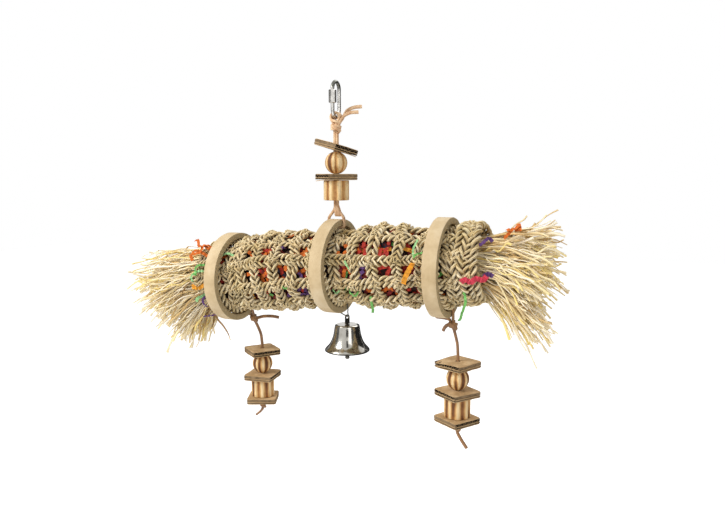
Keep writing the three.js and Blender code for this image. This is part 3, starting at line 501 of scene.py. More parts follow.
def liner_sheet(z, hole, seed, curl):
    """One punched liner; curl gives the way, in degrees, and how far, in mm, a corner is bent down."""
    around, shares = 64, (0, 0.4, 0.7, 0.86, 1)
    top = []
    for share in shares:
        for i in range(around):
            turn = 2 * pi * (i + 0.5) / around
            c, s = cos(turn), sin(turn)
            edge = SQUARE_HALF / (abs(c) ** CORNER_POWER + abs(s) ** CORNER_POWER) ** (1 / CORNER_POWER)
            edge += noise.noise(Vector((c * 3, s * 3, seed))) * 0.35 * MM
            r = hole + (edge - hole) * share
            lift = noise.noise(Vector((c * r * 90, s * r * 90, seed + 9))) * 0.25 * MM * share
            if curl:
                past = max(0, r * cos(turn - radians(curl[0])) / MM - CURL_START) / CURL_SPAN
                lift -= curl[1] * MM * past**1.6
            top.append(Vector((r * c, r * s, z + lift)))
    under = [v - Vector((0, 0, LINER)) for v in top]
    size, last = len(top), len(top) - around
    faces = lattice(len(shares), around, inward=True)
    faces += [tuple(size + k for k in reversed(face)) for face in faces]
    for i in range(around):
        n = (i + 1) % around
        faces += [(last + i, size + last + i, size + last + n, last + n), (i, n, size + n, size + i)]
    return top + under, faces


def fluting(low, high, pitch, hole):
    """A waved sheet between two liners, left out round the hole, with how many of its last faces are cut edges."""
    reach, across = SQUARE_HALF - 0.25 * MM, SQUARE_HALF - EDGE_SET_BACK
    columns, rows = 72, 8
    middle, swing = (low + high) / 2, (high - low - FLUTE_SHEET) / 2
    spots = []
    for i in range(columns + 1):
        x = -across + 2 * across * i / columns
        phase = 2 * pi * x / pitch
        slope = swing * 2 * pi / pitch * cos(phase)
        lean = Vector((-slope, 0, 1)).normalized() * FLUTE_SHEET / 2
        for j in range(rows + 1):
            y = -reach + 2 * reach * j / rows
            spots.append((Vector((x, y, middle + swing * sin(phase))), lean))
    kept = set()
    for i in range(columns):
        for j in range(rows):
            centre = (spots[i * (rows + 1) + j][0] + spots[(i + 1) * (rows + 1) + j + 1][0]) / 2
            if max(abs(centre.x), abs(centre.y)) > hole + 1.9 * MM:
                kept.add((i, j))
    size = len(spots)
    vertices = [p + n for p, n in spots] + [p - n for p, n in spots]
    faces, cut = [], []
    for i, j in sorted(kept):
        a, b = i * (rows + 1) + j, (i + 1) * (rows + 1) + j
        faces += [(a, b, b + 1, a + 1), (size + a + 1, size + b + 1, size + b, size + a)]
        sides = ((i, j - 1), a, b), ((i, j + 1), b + 1, a + 1), ((i - 1, j), a + 1, a), ((i + 1, j), b, b + 1)
        for there, p, q in sides:
            if there not in kept:
                cut.append((p, size + p, size + q, q))
    # The edges along the flutes are closed by the wave's own side
    for side in (-1, 1):
        first = len(vertices)
        x0, x1 = sorted((side * across, side * (across - FLUTE_SHEET)))
        vertices += [Vector((x, y, z)) for x in (x0, x1) for y in (-reach, reach) for z in (low, high)]
        walls = ((0, 1, 3, 2), (4, 6, 7, 5), (0, 4, 5, 1), (2, 3, 7, 6), (0, 2, 6, 4), (1, 5, 7, 3))
        cut += [tuple(first + k for k in wall) for wall in walls]
    return vertices, faces + cut, len(cut)


FLAT = (None, None, None)


def card_square(name, body, node, place, hole, seed, curls=FLAT):
    """A punched square of double-wall board at its place, with a curl for each liner."""
    half = SQUARE_THICKNESS / 2
    between = half - LINER - COARSE_HEIGHT
    heights = (half, between, LINER - half)
    liners = joined(*(liner_sheet(z, hole, seed + k, curls[k]) for k, z in enumerate(heights)))
    waves = [fluting(between, half - LINER, COARSE_PITCH, hole)]
    waves.append(fluting(LINER - half, between - LINER, FINE_PITCH, hole))
    vertices, faces = joined(liners, *(wave[:2] for wave in waves))
    piece = make_piece(name, ([place @ v for v in vertices], faces), liner_card, 50)
    for bare_paper in bare_papers:
        piece.data.materials.append(bare_paper)
    paper = [0] * len(liners[1])
    for _, sheet, cut in waves:
        paper += [1] * (len(sheet) - cut) + [2] * cut
    piece.data.polygons.foreach_set("material_index", paper)
    return stand_for(piece, body, "board", node)


def spin(degrees, axis="Z"):
    """A turn about an axis."""
    return Matrix.Rotation(radians(degrees), 4, axis)


def spun(x, y, z, degrees):
    """A level place, turned about its upright axis."""
    return Matrix.Translation(Vector((x, y, z)) * MM) @ spin(degrees)


tilted = spun(0, 0, -57.713, 24) @ spin(16, "Y") @ spin(45)
STRAND_HOLE, LACE_HOLE = 3.3 * MM, 2.35 * MM
LEFT_X, LEFT_Y, RIGHT_X, RIGHT_Y = -98.666, 20.947, 119.407, 2.695
threaded = {"left": [], "right": []}
card_square("hanger_card_top", "top_square", "hanger_square_top", tilted, 4.1 * MM, 3, (None, None, (-45, 0.8)))
card_square("hanger_card_lower", "lower_square", "hanger_square_lower", spun(0, 0, -84.925, -37), STRAND_HOLE, 11,
            (None, None, (241, 1.3)))
for side, level, place, seed, curls in (
    ("left", "top", spun(LEFT_X, LEFT_Y, -266.841, 53), 20, FLAT),
    ("left", "middle", spun(LEFT_X, LEFT_Y, -293.521, -81), 25, FLAT),
    ("left", "bottom", spun(LEFT_X, LEFT_Y, -318.221, -66), 30, FLAT),
    ("right", "top", spun(RIGHT_X, RIGHT_Y, -251.149, -25), 60, ((228, 1.5), (228, 1.1), None)),
    ("right", "middle", spun(RIGHT_X, RIGHT_Y, -277.829, -34), 65, FLAT),
    ("right", "bottom", spun(RIGHT_X, RIGHT_Y, -302.529, 58), 70, FLAT),
):
    threaded[side].append(card_square(f"{side}_card_{level}", f"{side}_{level}", f"{side}_square_{level}", place,
                                      LACE_HOLE, seed, curls))


# Wooden beads and drums. Turned from pale hardwood, then grooved lengthwise and scorched in the grooves, so
# cream ribs stand between brown stripes. Each is drilled for the lace.
WOOD_GROOVES = 9
GROOVE_DEPTH = 0.8 * MM
BEAD_RADIUS, BEAD_STEPS = 10.5 * MM, 22
DRUM_RADIUS, DRUM_HALF = 12 * MM, 9.25 * MM

# Pale beech-like wood, toasted: satin cream ribs that shade through gold to brown in the grooves
scorched, tree, surface = finish_of("scorched_wood", 0.5)
where = add_node(tree, "TexCoord").outputs["Object"]
burn = add_node(tree, "Attribute", attribute_name="burn").outputs["Fac"]
# Grain lines of about 1 mm, drawn out along the upright axis
stretch = add_node(tree, "Mapping", {"Scale": (900, 900, 60), "Vector": where})
grain = add_node(tree, "TexNoise", {"Scale": 1, "Detail": 4, "Vector": stretch})
smoke = add_node(tree, "TexNoise", {"Scale": 140, "Detail": 3, "Vector": where})
drift = add_node(tree, "Math", {1: 0.5, 2: -0.25, 0: smoke}, operation="MULTIPLY_ADD")
char = add_node(tree, "Math", {0: burn, 1: drift}, operation="ADD")
toast = add_node(tree, "ValToRGB", {"Fac": char},
                 stops=[(0.12, "F3D9A8"), (0.45, "E2B878"), (0.68, "C08C50"), (0.86, "94602F"), (1.0, "68401E")])
streak = add_node(tree, "ValToRGB", {"Fac": grain}, stops=[(0.32, "C8B596"), (0.62, "FFFFFF")])
both = add_node(tree, "Mix", {0: 0.7, 6: toast, 7: streak}, data_type="RGBA",
                blend_type="MULTIPLY").outputs[2]
rough = add_node(tree, "MapRange", {"To Min": 0.42, "To Max": 0.75, "Value": char})
bump = add_node(tree, "Bump", {"Strength": 0.25, "Distance": 0.0002, "Height": grain})
feed(surface, {"Base Color": both, "Roughness": rough, "Normal": bump})


def turned_wood(name, body, node, centre, profile, hole, phase, toasting):
    """A grooved turning about the upright axis. The profile is pairs of radius and height, from the top down."""
    around = WOOD_GROOVES * 12
    vertices, burns = [], []
    widest = max(r for r, _ in profile)
    rows = [(hole, profile[0][1], False)] + [(r, z, True) for r, z in profile] + [(hole, profile[-1][1], False)]
    for r, z, outside in rows:
        for i in range(around):
            turn = 2 * pi * i / around
            wobble = 0.35 * noise.noise(polar(2, turn, phase))
            groove = (1 - cos(WOOD_GROOVES * (turn + wobble * 0.3) + phase)) / 2
            share = (r - hole) / (widest - hole) if outside else 0
            deep = r - GROOVE_DEPTH * groove**1.5 * share
            vertices.append(centre + polar(deep, turn, z))
            scorch = 0.9 + 0.8 * noise.noise(polar(1.4, turn, phase + 5 + z * 25))
            burns.append(groove**0.75 * min(1.15, max(0.5, scorch)) * toasting if share > 0.25 else groove * 0.5)
    piece = make_piece(name, (vertices, lattice(len(rows), around, True, True)), scorched, 50)
    piece.data.attributes.new("burn", "FLOAT", "POINT").data.foreach_set("value", burns)
    return stand_for(piece, body, "wood", node)


def bead_profile(hole):
    """Pairs of radius and height down a ball, from the rim of its hole."""
    mouth = asin(hole / BEAD_RADIUS)
    slopes = [mouth + (pi - 2 * mouth) * i / BEAD_STEPS for i in range(BEAD_STEPS + 1)]
    return [(BEAD_RADIUS * sin(s), BEAD_RADIUS * cos(s)) for s in slopes]


DRUM_EDGE = 0.6 * MM
drum_profile = [(DRUM_RADIUS - DRUM_EDGE, DRUM_HALF), (DRUM_RADIUS - DRUM_EDGE * 0.3, DRUM_HALF - DRUM_EDGE * 0.3),
                (DRUM_RADIUS, DRUM_HALF - DRUM_EDGE)]
drum_profile += [(DRUM_RADIUS, (DRUM_HALF - DRUM_EDGE) * (1 - i / 3)) for i in (1, 2, 3, 4, 5)]
drum_profile += [(r, -z) for r, z in reversed(drum_profile[:3])]
for side, ball_body, drum_body, x, y, ball_z, drum_z, hole, phase, ball_toast, drum_toast in (
    ("hanger", "bead", "cylinder", 0, 0, -71.842, -97.275, STRAND_HOLE, 0.4, 1.0, 0.78),
    ("left", "left_ball", "left_drum", LEFT_X, LEFT_Y, -280.181, -305.871, LACE_HOLE, 2.1, 1.15, 0.95),
    ("right", "right_ball", "right_drum", RIGHT_X, RIGHT_Y, -264.489, -290.179, LACE_HOLE, 3.6, 1.08, 1.02),
):
    ball = turned_wood(f"{side}_wood_bead", ball_body, f"{side}_bead", Vector((x, y, ball_z)) * MM,
                       bead_profile(hole), hole, phase, ball_toast)
    drum = turned_wood(f"{side}_wood_drum", drum_body, f"{side}_cylinder", Vector((x, y, drum_z)) * MM,
                       drum_profile, hole, phase + 1, drum_toast)
    if side in threaded:
        threaded[side] += [ball, drum]


# Rings. Three slices of a spiral-wound card tube, 89 mm across with a 6 mm wall, sawn 13 mm wide. The outside
# is smooth kraft paper, and the sawn faces show the plies edge on. They hold the net in shape.
RING_RADIUS, RING_BORE, RING_HALF = 44.5 * MM, 38.5 * MM, 6.5 * MM

# Kraft wrap: smooth, slightly calendered brown paper with soft cloudy tone and the odd scuff
wrap, tree, surface = finish_of("kraft_tube_wrap", 0.7)
where = add_node(tree, "TexCoord").outputs["Object"]
cloud = add_node(tree, "TexNoise", {"Scale": 45, "Detail": 5, "Roughness": 0.6, "Vector": where})
tint = add_node(tree, "ValToRGB", {"Fac": cloud},
                stops=[(0.3, "BCA278"), (0.52, "CFB78E"), (0.72, "DDC9A6")])
pulp = add_node(tree, "TexNoise", {"Scale": 1200, "Detail": 3, "Vector": where})
bump = add_node(tree, "Bump", {"Strength": 0.25, "Distance": 0.0002, "Height": pulp})
feed(surface, {"Base Color": tint, "Normal": bump})

# Sawn edge: grey-brown board with ply lines 0.6 mm apart and torn fibres
sawn, tree, surface = finish_of("sawn_card_plies", 0.9)
where = add_node(tree, "TexCoord").outputs["Object"]
ply = add_node(tree, "Attribute", attribute_name="ply").outputs["Fac"]
torn = add_node(tree, "TexNoise", {"Scale": 420, "Detail": 4, "Vector": where})
phase = add_node(tree, "Math", {1: 2 * pi / (0.6 * MM), 0: ply}, operation="MULTIPLY")
shift = add_node(tree, "Math", {1: 5.0, 0: torn, 2: phase}, operation="MULTIPLY_ADD")
wave = add_node(tree, "Math", {0: shift}, operation="SINE")
lines = add_node(tree, "Math", {1: 0.22, 2: 0.28, 0: wave}, operation="MULTIPLY_ADD")
mixed = add_node(tree, "Math", {1: 0.45, 0: torn, 2: lines}, operation="MULTIPLY_ADD")
tint = add_node(tree, "ValToRGB", {"Fac": mixed},
                stops=[(0.2, "877450"), (0.5, "A4906A"), (0.85, "BEAB84")])
bump = add_node(tree, "Bump", {"Strength": 0.5, "Distance": 0.0003, "Height": mixed})
feed(surface, {"Base Color": tint, "Normal": bump})


def card_ring(name, node, centre, seed):
    """A ring about the X axis, with its sawn faces and bore in the second material."""
    around = 120
    edge = 0.55 * MM
    out, bore, half = RING_RADIUS, RING_BORE, RING_HALF
    profile = [(bore, -half + edge), (bore + edge * 0.3, -half + edge * 0.3), (bore + edge, -half)]
    profile += [(bore + 2 * MM, -half), (bore + 4 * MM, -half), (out - edge, -half)]
    profile += [(out - edge * 0.3, -half + edge * 0.3), (out, -half + edge)]
    profile += [(r, -x) for r, x in reversed(profile)]
    vertices, plies, cards = [], [], []
    for i in range(around):
        turn = 2 * pi * i / around
        for r, x in profile:
            worn = noise.noise(polar(6, turn, seed + x * 300)) * 0.14 * MM
            r2, x2 = r + worn, x + worn * (1 if x > 0 else -1)
            vertices.append(centre + Vector((x2, r2 * cos(turn), r2 * sin(turn))))
            plies.append(r)
    for (r, x), (r2, x2) in zip(profile, profile[1:] + profile[:1]):
        level = min(abs(x), abs(x2)) > half - edge * 0.9
        cards.append(1 if level or max(r, r2) < bore + edge else 0)
    ring = make_piece(name, (vertices, lattice(around, len(profile), closed=True)), wrap, 50)
    ring.data.materials.append(sawn)
    ring.data.polygons.foreach_set("material_index", cards * around)
    ring.data.attributes.new("ply", "FLOAT", "POINT").data.foreach_set("value", plies)
    return stand_for(ring, "tube", "kraft", node)


RING_MIDDLES = {"left": Vector((-115.466, 0, -185.593)) * MM, "middle": Vector((0, 0, -168.725)) * MM,
                "right": Vector((106.507, 0, -164.219)) * MM}
for seed, (side, centre) in enumerate(RING_MIDDLES.items(), 1):
    card_ring(f"ring_band_{side}", f"ring_{side}", centre, seed)


# Seagrass net. Dried seagrass is twisted into two-ply cord about 6 mm thick and knotted in pairs into a square
# mesh of about 20 mm, which is rolled into a tube. Pairs along it and pairs round it pass over and under.
TUBE_SLOPE = radians(5.5)
TUBE_MIDDLE = Vector((0, 0, -171.025 * MM))
tube_along = Vector((cos(TUBE_SLOPE), 0, sin(TUBE_SLOPE)))
tube_up = Vector((-sin(TUBE_SLOPE), 0, cos(TUBE_SLOPE)))
tube_back = Vector((0, 1, 0))
NET_WAIST, NET_BULGE = 33.58, 5.5
NET_LINES = 10
LINE_STEP = 2 * pi / NET_LINES
CORD_HALF = 3.4
PAIR_HALF = 2.55
OVER_UNDER, SLACK = 1.3, 4.5
RING_SETTLE = ((-116, -3.0), (0, 2.0), (107, -3.0))
NET_START, NET_END = -140, 140


def on_tube(s, turn, r):
    """A point at s along the tube, an angle round it from the rear and r from its axis, in mm. The tube settles in
    its rings."""
    around = tube_back * cos(turn) + tube_up * sin(turn)
    settled = sum(lift * exp(-(((s - spot) / 24) ** 2)) for spot, lift in RING_SETTLE)
    return TUBE_MIDDLE + (tube_along * s + around * r + tube_up * settled) * MM


hoop_rows = [(-136, NET_WAIST)]
for start, end, cells in ((-104, -12, 5), (12, 95, 4)):
    for i in range(cells + 1):
        swell = sin(pi * i / cells) ** 0.5 if 0 < i < cells else 0
        hoop_rows.append((start + (end - start) * i / cells, NET_WAIST + NET_BULGE * swell))
# The first column by the left ring is drawn shut by one more hoop, and bare rope rounds finish the right end
hoop_rows.insert(2, (-94.5, NET_WAIST + NET_BULGE * 0.6))
hoop_rows += [(119, NET_WAIST + 1), (130, NET_WAIST + 3.4), (140, NET_WAIST + 1.6)]
BARE_HOOPS = 2


def net_radius(s):
    """Outside radius of the net, taken between its hoops."""
    for (a, ra), (b, rb) in zip(hoop_rows, hoop_rows[1:]):
        if a <= s <= b:
            fill = sum(3.6 * exp(-(((s - spot) / 9) ** 2)) for spot, _ in RING_SETTLE)
            return ra + (rb - ra) * (s - a) / (b - a) + fill
    return hoop_rows[0][1] if s < 0 else hoop_rows[-1][1]


def slack(s, turn, r):
    """A point of the net, drawn a little out of true as hand knotting leaves it."""
    spot = Vector((s * 0.034, cos(turn) * 1.3, sin(turn) * 1.3))
    along = noise.noise(spot) * SLACK
    round_it = noise.noise(spot + Vector((7, 3, 1))) * SLACK
    out = noise.noise(spot * 1.6 + Vector((2, 9, 4))) * 1.3
    return on_tube(s + along, turn + round_it / r, r + min(0.3, out))


LINE_POINTS, HOOP_POINTS, TIE_POINTS = 250, 200, 20
CORD_PITCH, TIE_PITCH = 11.5, 8
LINE_GIRTH, HOOP_GIRTH, BARE_GIRTH, RING_GIRTH, TIE_GIRTH = 1.0, 0.96, 1.1, 1.12, 0.56
net_cords, hoop_cords, tie_cords = [([], [], [], []) for _ in range(3)]
lays = random.Random(12)


def lay_cord(cords, points, closed, girth, pitch):
    """Adds one cord's line to a set, with its twist, left or right handed, and its girth at each point."""
    spots, edges, twists, girths = cords
    first = len(spots)
    ends = points + points[:1] if closed else points
    length = sum((b - a).length for a, b in zip(ends, ends[1:])) / MM
    turns = length / (pitch * lays.uniform(0.85, 1.2))
    turns = lays.choice((-1, 1)) * (round(turns) if closed else turns)
    for i, p in enumerate(points):
        spots.append(p)
        twists.append(2 * pi * turns * i / len(points) + first * 0.7)
        girths.append(girth * (1 + 0.28 * noise.noise(p / MM * 0.11)))
        if i:
            edges.append((first + i - 1, first + i))
    if closed:
        edges.append((first + len(points) - 1, first))


def weave(s, j):
    """How far a lengthwise cord lies over or under the hoops, from -1 to 1."""
    spots = [row[0] for row in hoop_rows]
    for i, (a, b) in enumerate(zip(spots, spots[1:])):
        if a <= s <= b:
            return cos(pi * (i + (s - a) / (b - a) + j))
    return 0


for j in range(NET_LINES):
    for hand in (-1, 1):
        points = []
        for i in range(LINE_POINTS):
            s = NET_START + (NET_END - NET_START) * i / (LINE_POINTS - 1)
            r = net_radius(s) - CORD_HALF + OVER_UNDER * weave(s, j) - 0.5
            points.append(slack(s, LINE_STEP * (j + 0.5) + hand * PAIR_HALF / r, r))
        lay_cord(net_cords, points, False, LINE_GIRTH, CORD_PITCH)
for i, (s, outside) in enumerate(hoop_rows):
    bare = i >= len(hoop_rows) - BARE_HOOPS
    for hand in (-1, 1):
        points = []
        for k in range(HOOP_POINTS):
            turn = 2 * pi * k / HOOP_POINTS
            lift = 0.9 if bare else -OVER_UNDER * cos(pi * (turn / LINE_STEP - 0.5 + i))
            points.append(slack(s + hand * PAIR_HALF, turn, outside - CORD_HALF + lift - 0.5))
        lay_cord(hoop_cords, points, True, BARE_GIRTH if bare else HOOP_GIRTH, CORD_PITCH)
# Inside each ring one more plain pair lies against its wall
RING_INSIDE = 38.5
for spot, _ in RING_SETTLE:
    for hand in (-1, 1):
        turns = [2 * pi * k / HOOP_POINTS for k in range(HOOP_POINTS)]
        points = [on_tube(spot + hand * PAIR_HALF, turn, RING_INSIDE - CORD_HALF - 0.4) for turn in turns]
        lay_cord(hoop_cords, points, True, RING_GIRTH, CORD_PITCH)
# At each crossing one cord is tied round the other: slanting turns of a thinner cord, side by side and crossed
TIE_RADIUS = 3.7
for s, outside in hoop_rows[:-BARE_HOOPS]:
    for j in range(NET_LINES):
        turn = LINE_STEP * (j + 0.5)
        outward = (on_tube(s, turn, outside) - on_tube(s, turn, 0)).normalized()
        middle = slack(s, turn, outside - CORD_HALF - 0.6)
        askew, size = lays.uniform(-50, 50), lays.uniform(0.9, 1.1)
        for slant, aside, wide, high in ((44, 2.1, 1.05, 1), (36, -2.0, 1, 1.06), (-50, 0.3, 1.1, 1.16)):
            run = Quaternion(outward, radians(slant + askew)) @ tube_along
            points = []
            for k in range(TIE_POINTS):
                a = 2 * pi * k / TIE_POINTS
                reach = (run * wide * cos(a) + outward * high * sin(a)) * TIE_RADIUS
                points.append(middle + (reach + outward.cross(run) * aside) * size * MM)
            lay_cord(tie_cords, points, True, TIE_GIRTH, TIE_PITCH)


def line_object(name, spots, edges, **values):
    """An object of bare lines, with a value at each point for each name."""
    mesh = bpy.data.meshes.new(name)
    mesh.from_pydata([tuple(p) for p in spots], edges, [])
    for label, each in values.items():
        mesh.attributes.new(label, "FLOAT", "POINT").data.foreach_set("value", each)
    made = bpy.data.objects.new(name, mesh)
    scene.collection.objects.link(made)
    return made


def open_tree(name, sizes):
    """A new node tree with a geometry input and output and named inputs for sizes."""
    tree = bpy.data.node_groups.new(name, "GeometryNodeTree")
    tree.interface.new_socket("Geometry", in_out="INPUT", socket_type="NodeSocketGeometry")
    for label, kind in sizes:
        tree.interface.new_socket(label, in_out="INPUT", socket_type=kind)
    tree.interface.new_socket("Geometry", in_out="OUTPUT", socket_type="NodeSocketGeometry")
    return tree, tree.nodes.new("NodeGroupInput"), tree.nodes.new("NodeGroupOutput")


def grown(source, tree, sizes, name):
    """The plain mesh that a node tree makes from a source object, which is then removed."""
    grower = source.modifiers.new(tree.name, "NODES")
    grower.node_group = tree
    for socket in tree.interface.items_tree:
        if socket.in_out == "INPUT" and socket.name in sizes:
            grower[socket.identifier] = sizes[socket.name]
    mesh = bpy.data.meshes.new_from_object(source.evaluated_get(bpy.context.evaluated_depsgraph_get()))
    source.modifiers.remove(grower)
    bpy.data.objects.remove(source)
    mesh.polygons.foreach_set("use_smooth", [True] * len(mesh.polygons))
    piece = bpy.data.objects.new(name, mesh)
    scene.collection.objects.link(piece)
    return piece


# The cord's plies are circles set round its line and turned along it; hollow is 1 on a ply's inner side, where the
# seagrass paint puts painted shade
cord_tree, given, result = open_tree("laid_cord", [
    ("Ply Radius", "NodeSocketFloat"), ("Ply Offset", "NodeSocketFloat"), ("Sides", "NodeSocketInt"),
    ("Material", "NodeSocketMaterial")])
rail = add_node(cord_tree, "GeometryNodeMeshToCurve", {0: given.outputs["Geometry"]})
turn = add_node(cord_tree, "GeometryNodeInputNamedAttribute", {"Name": "turn"}, data_type="FLOAT")
rail = add_node(cord_tree, "GeometryNodeSetCurveTilt", {"Curve": rail, "Tilt": turn})
spline = add_node(cord_tree, "GeometryNodeSplineParameter")
rail = add_node(cord_tree, "GeometryNodeStoreNamedAttribute",
                {"Name": "along", "Geometry": rail, "Value": spline.outputs["Length"]}, data_type="FLOAT",
                domain="POINT")
across = add_node(cord_tree, "CombineXYZ", {0: given.outputs["Ply Offset"]})
first = add_node(cord_tree, "VectorMath", {"Scale": -1.0, 0: across}, operation="SCALE")
step = add_node(cord_tree, "VectorMath", {"Scale": 2.0, 0: across}, operation="SCALE")
hub = add_node(cord_tree, "GeometryNodeMeshLine", {"Count": 2, "Start Location": first, "Offset": step})
rim = add_node(cord_tree, "GeometryNodeCurvePrimitiveCircle",
               {"Resolution": given.outputs["Sides"], "Radius": given.outputs["Ply Radius"]})
rim = add_node(cord_tree, "GeometryNodeStoreNamedAttribute",
               {"Name": "around", "Geometry": rim, "Value": spline.outputs["Factor"]}, data_type="FLOAT",
               domain="POINT")
inner = add_node(cord_tree, "Math", {1: 2.0, 2: -1.0, 0: spline.outputs["Factor"]},
                 operation="MULTIPLY_ADD")
inner = add_node(cord_tree, "Math", {0: inner}, operation="ABSOLUTE")
rim = add_node(cord_tree, "GeometryNodeStoreNamedAttribute", {"Name": "hollow", "Geometry": rim, "Value": inner},
               data_type="FLOAT", domain="POINT")
spot = add_node(cord_tree, "GeometryNodeInputPosition")
inward = add_node(cord_tree, "VectorMath", {"Scale": -1.0, 0: spot}, operation="SCALE")
facing = add_node(cord_tree, "FunctionNodeAlignRotationToVector", {"Vector": inward}, axis="X", pivot_axis="Z")
plies = add_node(cord_tree, "GeometryNodeInstanceOnPoints", {"Points": hub, "Instance": rim, "Rotation": facing})
plies = add_node(cord_tree, "GeometryNodeRealizeInstances", {0: plies})
girth = add_node(cord_tree, "GeometryNodeInputNamedAttribute", {"Name": "girth"}, data_type="FLOAT")
solid = add_node(cord_tree, "GeometryNodeCurveToMesh",
                 {"Fill Caps": True, "Curve": rail, "Profile Curve": plies, "Scale": girth})
solid = add_node(cord_tree, "GeometryNodeRealizeInstances", {0: solid})
solid = add_node(cord_tree, "GeometryNodeSetMaterial", {"Geometry": solid, "Material": given.outputs["Material"]})
feed(result, {0: solid})

# Dry twisted seagrass: flat pale blades laid along each ply, straw to grey-green, with painted shade, dark brown,
# where the plies meet
seagrass, tree, surface = finish_of("dry_seagrass", 0.6)
where = add_node(tree, "TexCoord").outputs["Object"]
along = add_node(tree, "Attribute", attribute_name="along").outputs["Fac"]
around = add_node(tree, "Attribute", attribute_name="around").outputs["Fac"]
hollow = add_node(tree, "Attribute", attribute_name="hollow").outputs["Fac"]
# Blades a little over 1 mm wide and about 13 mm long
blade = add_node(tree, "CombineXYZ", {0: along, 1: around})
blade = add_node(tree, "Mapping", {"Scale": (75, 9, 1), "Vector": blade})
blades = add_node(tree, "TexNoise", {"Scale": 1, "Detail": 3, "Roughness": 0.6, "Vector": blade})
tint = add_node(tree, "ValToRGB", {"Fac": blades},
                stops=[(0.3, "78592C"), (0.41, "CBAD76"), (0.52, "F4E0B6"), (0.68, "FFF8E4")])
# Whole lengths of cord differ: some are greener, some bleached
patch = add_node(tree, "TexNoise", {"Scale": 60, "Detail": 2, "Vector": where})
tone = add_node(tree, "ValToRGB", {"Fac": patch}, stops=[(0.35, "E0D9BC"), (0.6, "FFFDF6")])
both = add_node(tree, "Mix", {0: 0.85, 6: tint, 7: tone}, data_type="RGBA",
                blend_type="MULTIPLY").outputs[2]
# Painted shade: each ply's inner side is painted dark brown
deep = add_node(tree, "MapRange", {"From Min": 0.3, "From Max": 0.9, "To Max": 0.95, "Value": hollow})
shade = add_node(tree, "Mix", {7: linear("3E2810"), 0: deep, 6: both}, data_type="RGBA").outputs[2]
bump = add_node(tree, "Bump", {"Strength": 0.8, "Distance": 0.0007, "Height": blades})
feed(surface, {"Base Color": shade, "Normal": bump})

cord_sizes = {"Ply Radius": 1.65 * MM, "Ply Offset": 1.55 * MM, "Material": seagrass}
for name, (spots, edges, twists, girths), sides, nodes in (
    ("seagrass_net", net_cords, 6, ["seagrass_tube"]), ("seagrass_hoops", hoop_cords, 6, []),
    ("seagrass_ties", tie_cords, 5, [])
):
    source = line_object(name + "_lines", spots, edges, turn=twists, girth=girths)
    stand_for(grown(source, cord_tree, dict(cord_sizes, Sides=sides), name), "tube", "seagrass", *nodes)


# Paper filling. Crinkle-cut strips of tissue-thin paper, mostly red and orange with green, yellow and purple,
# are packed into the net and show in its gaps. A few stick out at the ends and underneath.
SHRED_WIDTH, SHRED_FOLD, SHRED_HALF, CRINKLE = 3.4, 2.6, 0.07 * MM, 0.6 * MM
FILL_START, FILL_END = -123, 122
CORE_SHREDS, BUNCH_SHREDS = 190, 4
shred_dyes = {"red": "B62C1A", "dark_red": "7A1A16", "orange": "E2721C", "yellow": "F2A42A", "green": "7CC465",
              "pale_green": "A9DC98", "purple": "643F78", "dark_purple": "2C2234", "pink": "DE4257"}

# Dyed paper: matt and tissue-thin, mottled where the dye took unevenly
dyed, tree, surface = finish_of("dyed_crinkle_paper", 0.8)
where = add_node(tree, "TexCoord").outputs["Object"]
dye = add_node(tree, "Attribute", attribute_name="dye").outputs["Color"]
mottle = add_node(tree, "TexNoise", {"Scale": 300, "Detail": 3, "Vector": where})
tone = add_node(tree, "ValToRGB", {"Fac": mottle}, stops=[(0.3, "B8B8B8"), (0.65, "FFFFFF")])
both = add_node(tree, "Mix", {0: 0.8, 6: dye, 7: tone}, data_type="RGBA", blend_type="MULTIPLY").outputs[2]
crease = add_node(tree, "TexNoise", {"Scale": 900, "Detail": 2, "Vector": where})
bump = add_node(tree, "Bump", {"Strength": 0.4, "Distance": 0.0003, "Height": crease})
feed(surface, {"Base Color": both, "Normal": bump})


def shred(points, out, width):
    """One strip folded back and forth along its points, with the way that stands out at each."""
    line, ways = [], []
    for i, p in enumerate(points):
        along = (points[min(i + 1, len(points) - 1)] - points[max(i - 1, 0)]).normalized()
        line.append(p + out[i] * (CRINKLE if i % 2 else -CRINKLE))
        ways.append(along.cross(out[i]))
    half, thin = width / 2 * MM, SHRED_HALF
    return sweep(line, [(half, thin), (-half, thin), (-half, -thin), (half, -thin)], ways)


def wandering_shred(draw, s, turn, depth, steps, low, high):
    """A strip that wanders over the filling from s and turn, at a depth under the net's outside."""
    heading, bend = draw.uniform(0, 2 * pi), draw.uniform(-0.3, 0.3)
    points, out = [], []
    for step in range(steps):
        heading += bend
        s = min(high - 1, max(low + 1, s + cos(heading) * SHRED_FOLD))
        r = net_radius(s) - depth + 0.7 * sin(step * 1.3)
        turn += sin(heading) * SHRED_FOLD / r
        points.append(on_tube(s, turn, r))
        out.append((on_tube(s, turn, 1) - on_tube(s, turn, 0)).normalized())
    return shred(points, out, SHRED_WIDTH)


def dyed_piece(name, shapes, codes, *nodes):
    """Shreds, and the core under them, joined in one mesh, each with its own colour."""
    piece = make_piece(name, joined(*shapes), dyed, 20)
    shades = []
    for (spots, _), code in zip(shapes, codes):
        shades += linear(code) * len(spots)
    piece.data.attributes.new("dye", "FLOAT_COLOR", "POINT").data.foreach_set("color", shades)
    stand_for(piece, "tube", "paper", *nodes)


picks = random.Random(41)
# Deep shreds are mostly in dark dyes, partly real and partly painted shade for the depth of the gaps
deep_dyes_and_painted_shade = ["red"] * 4 + ["dark_red"] * 12 + ["orange"] * 3 + ["green"] + ["dark_purple"] * 3
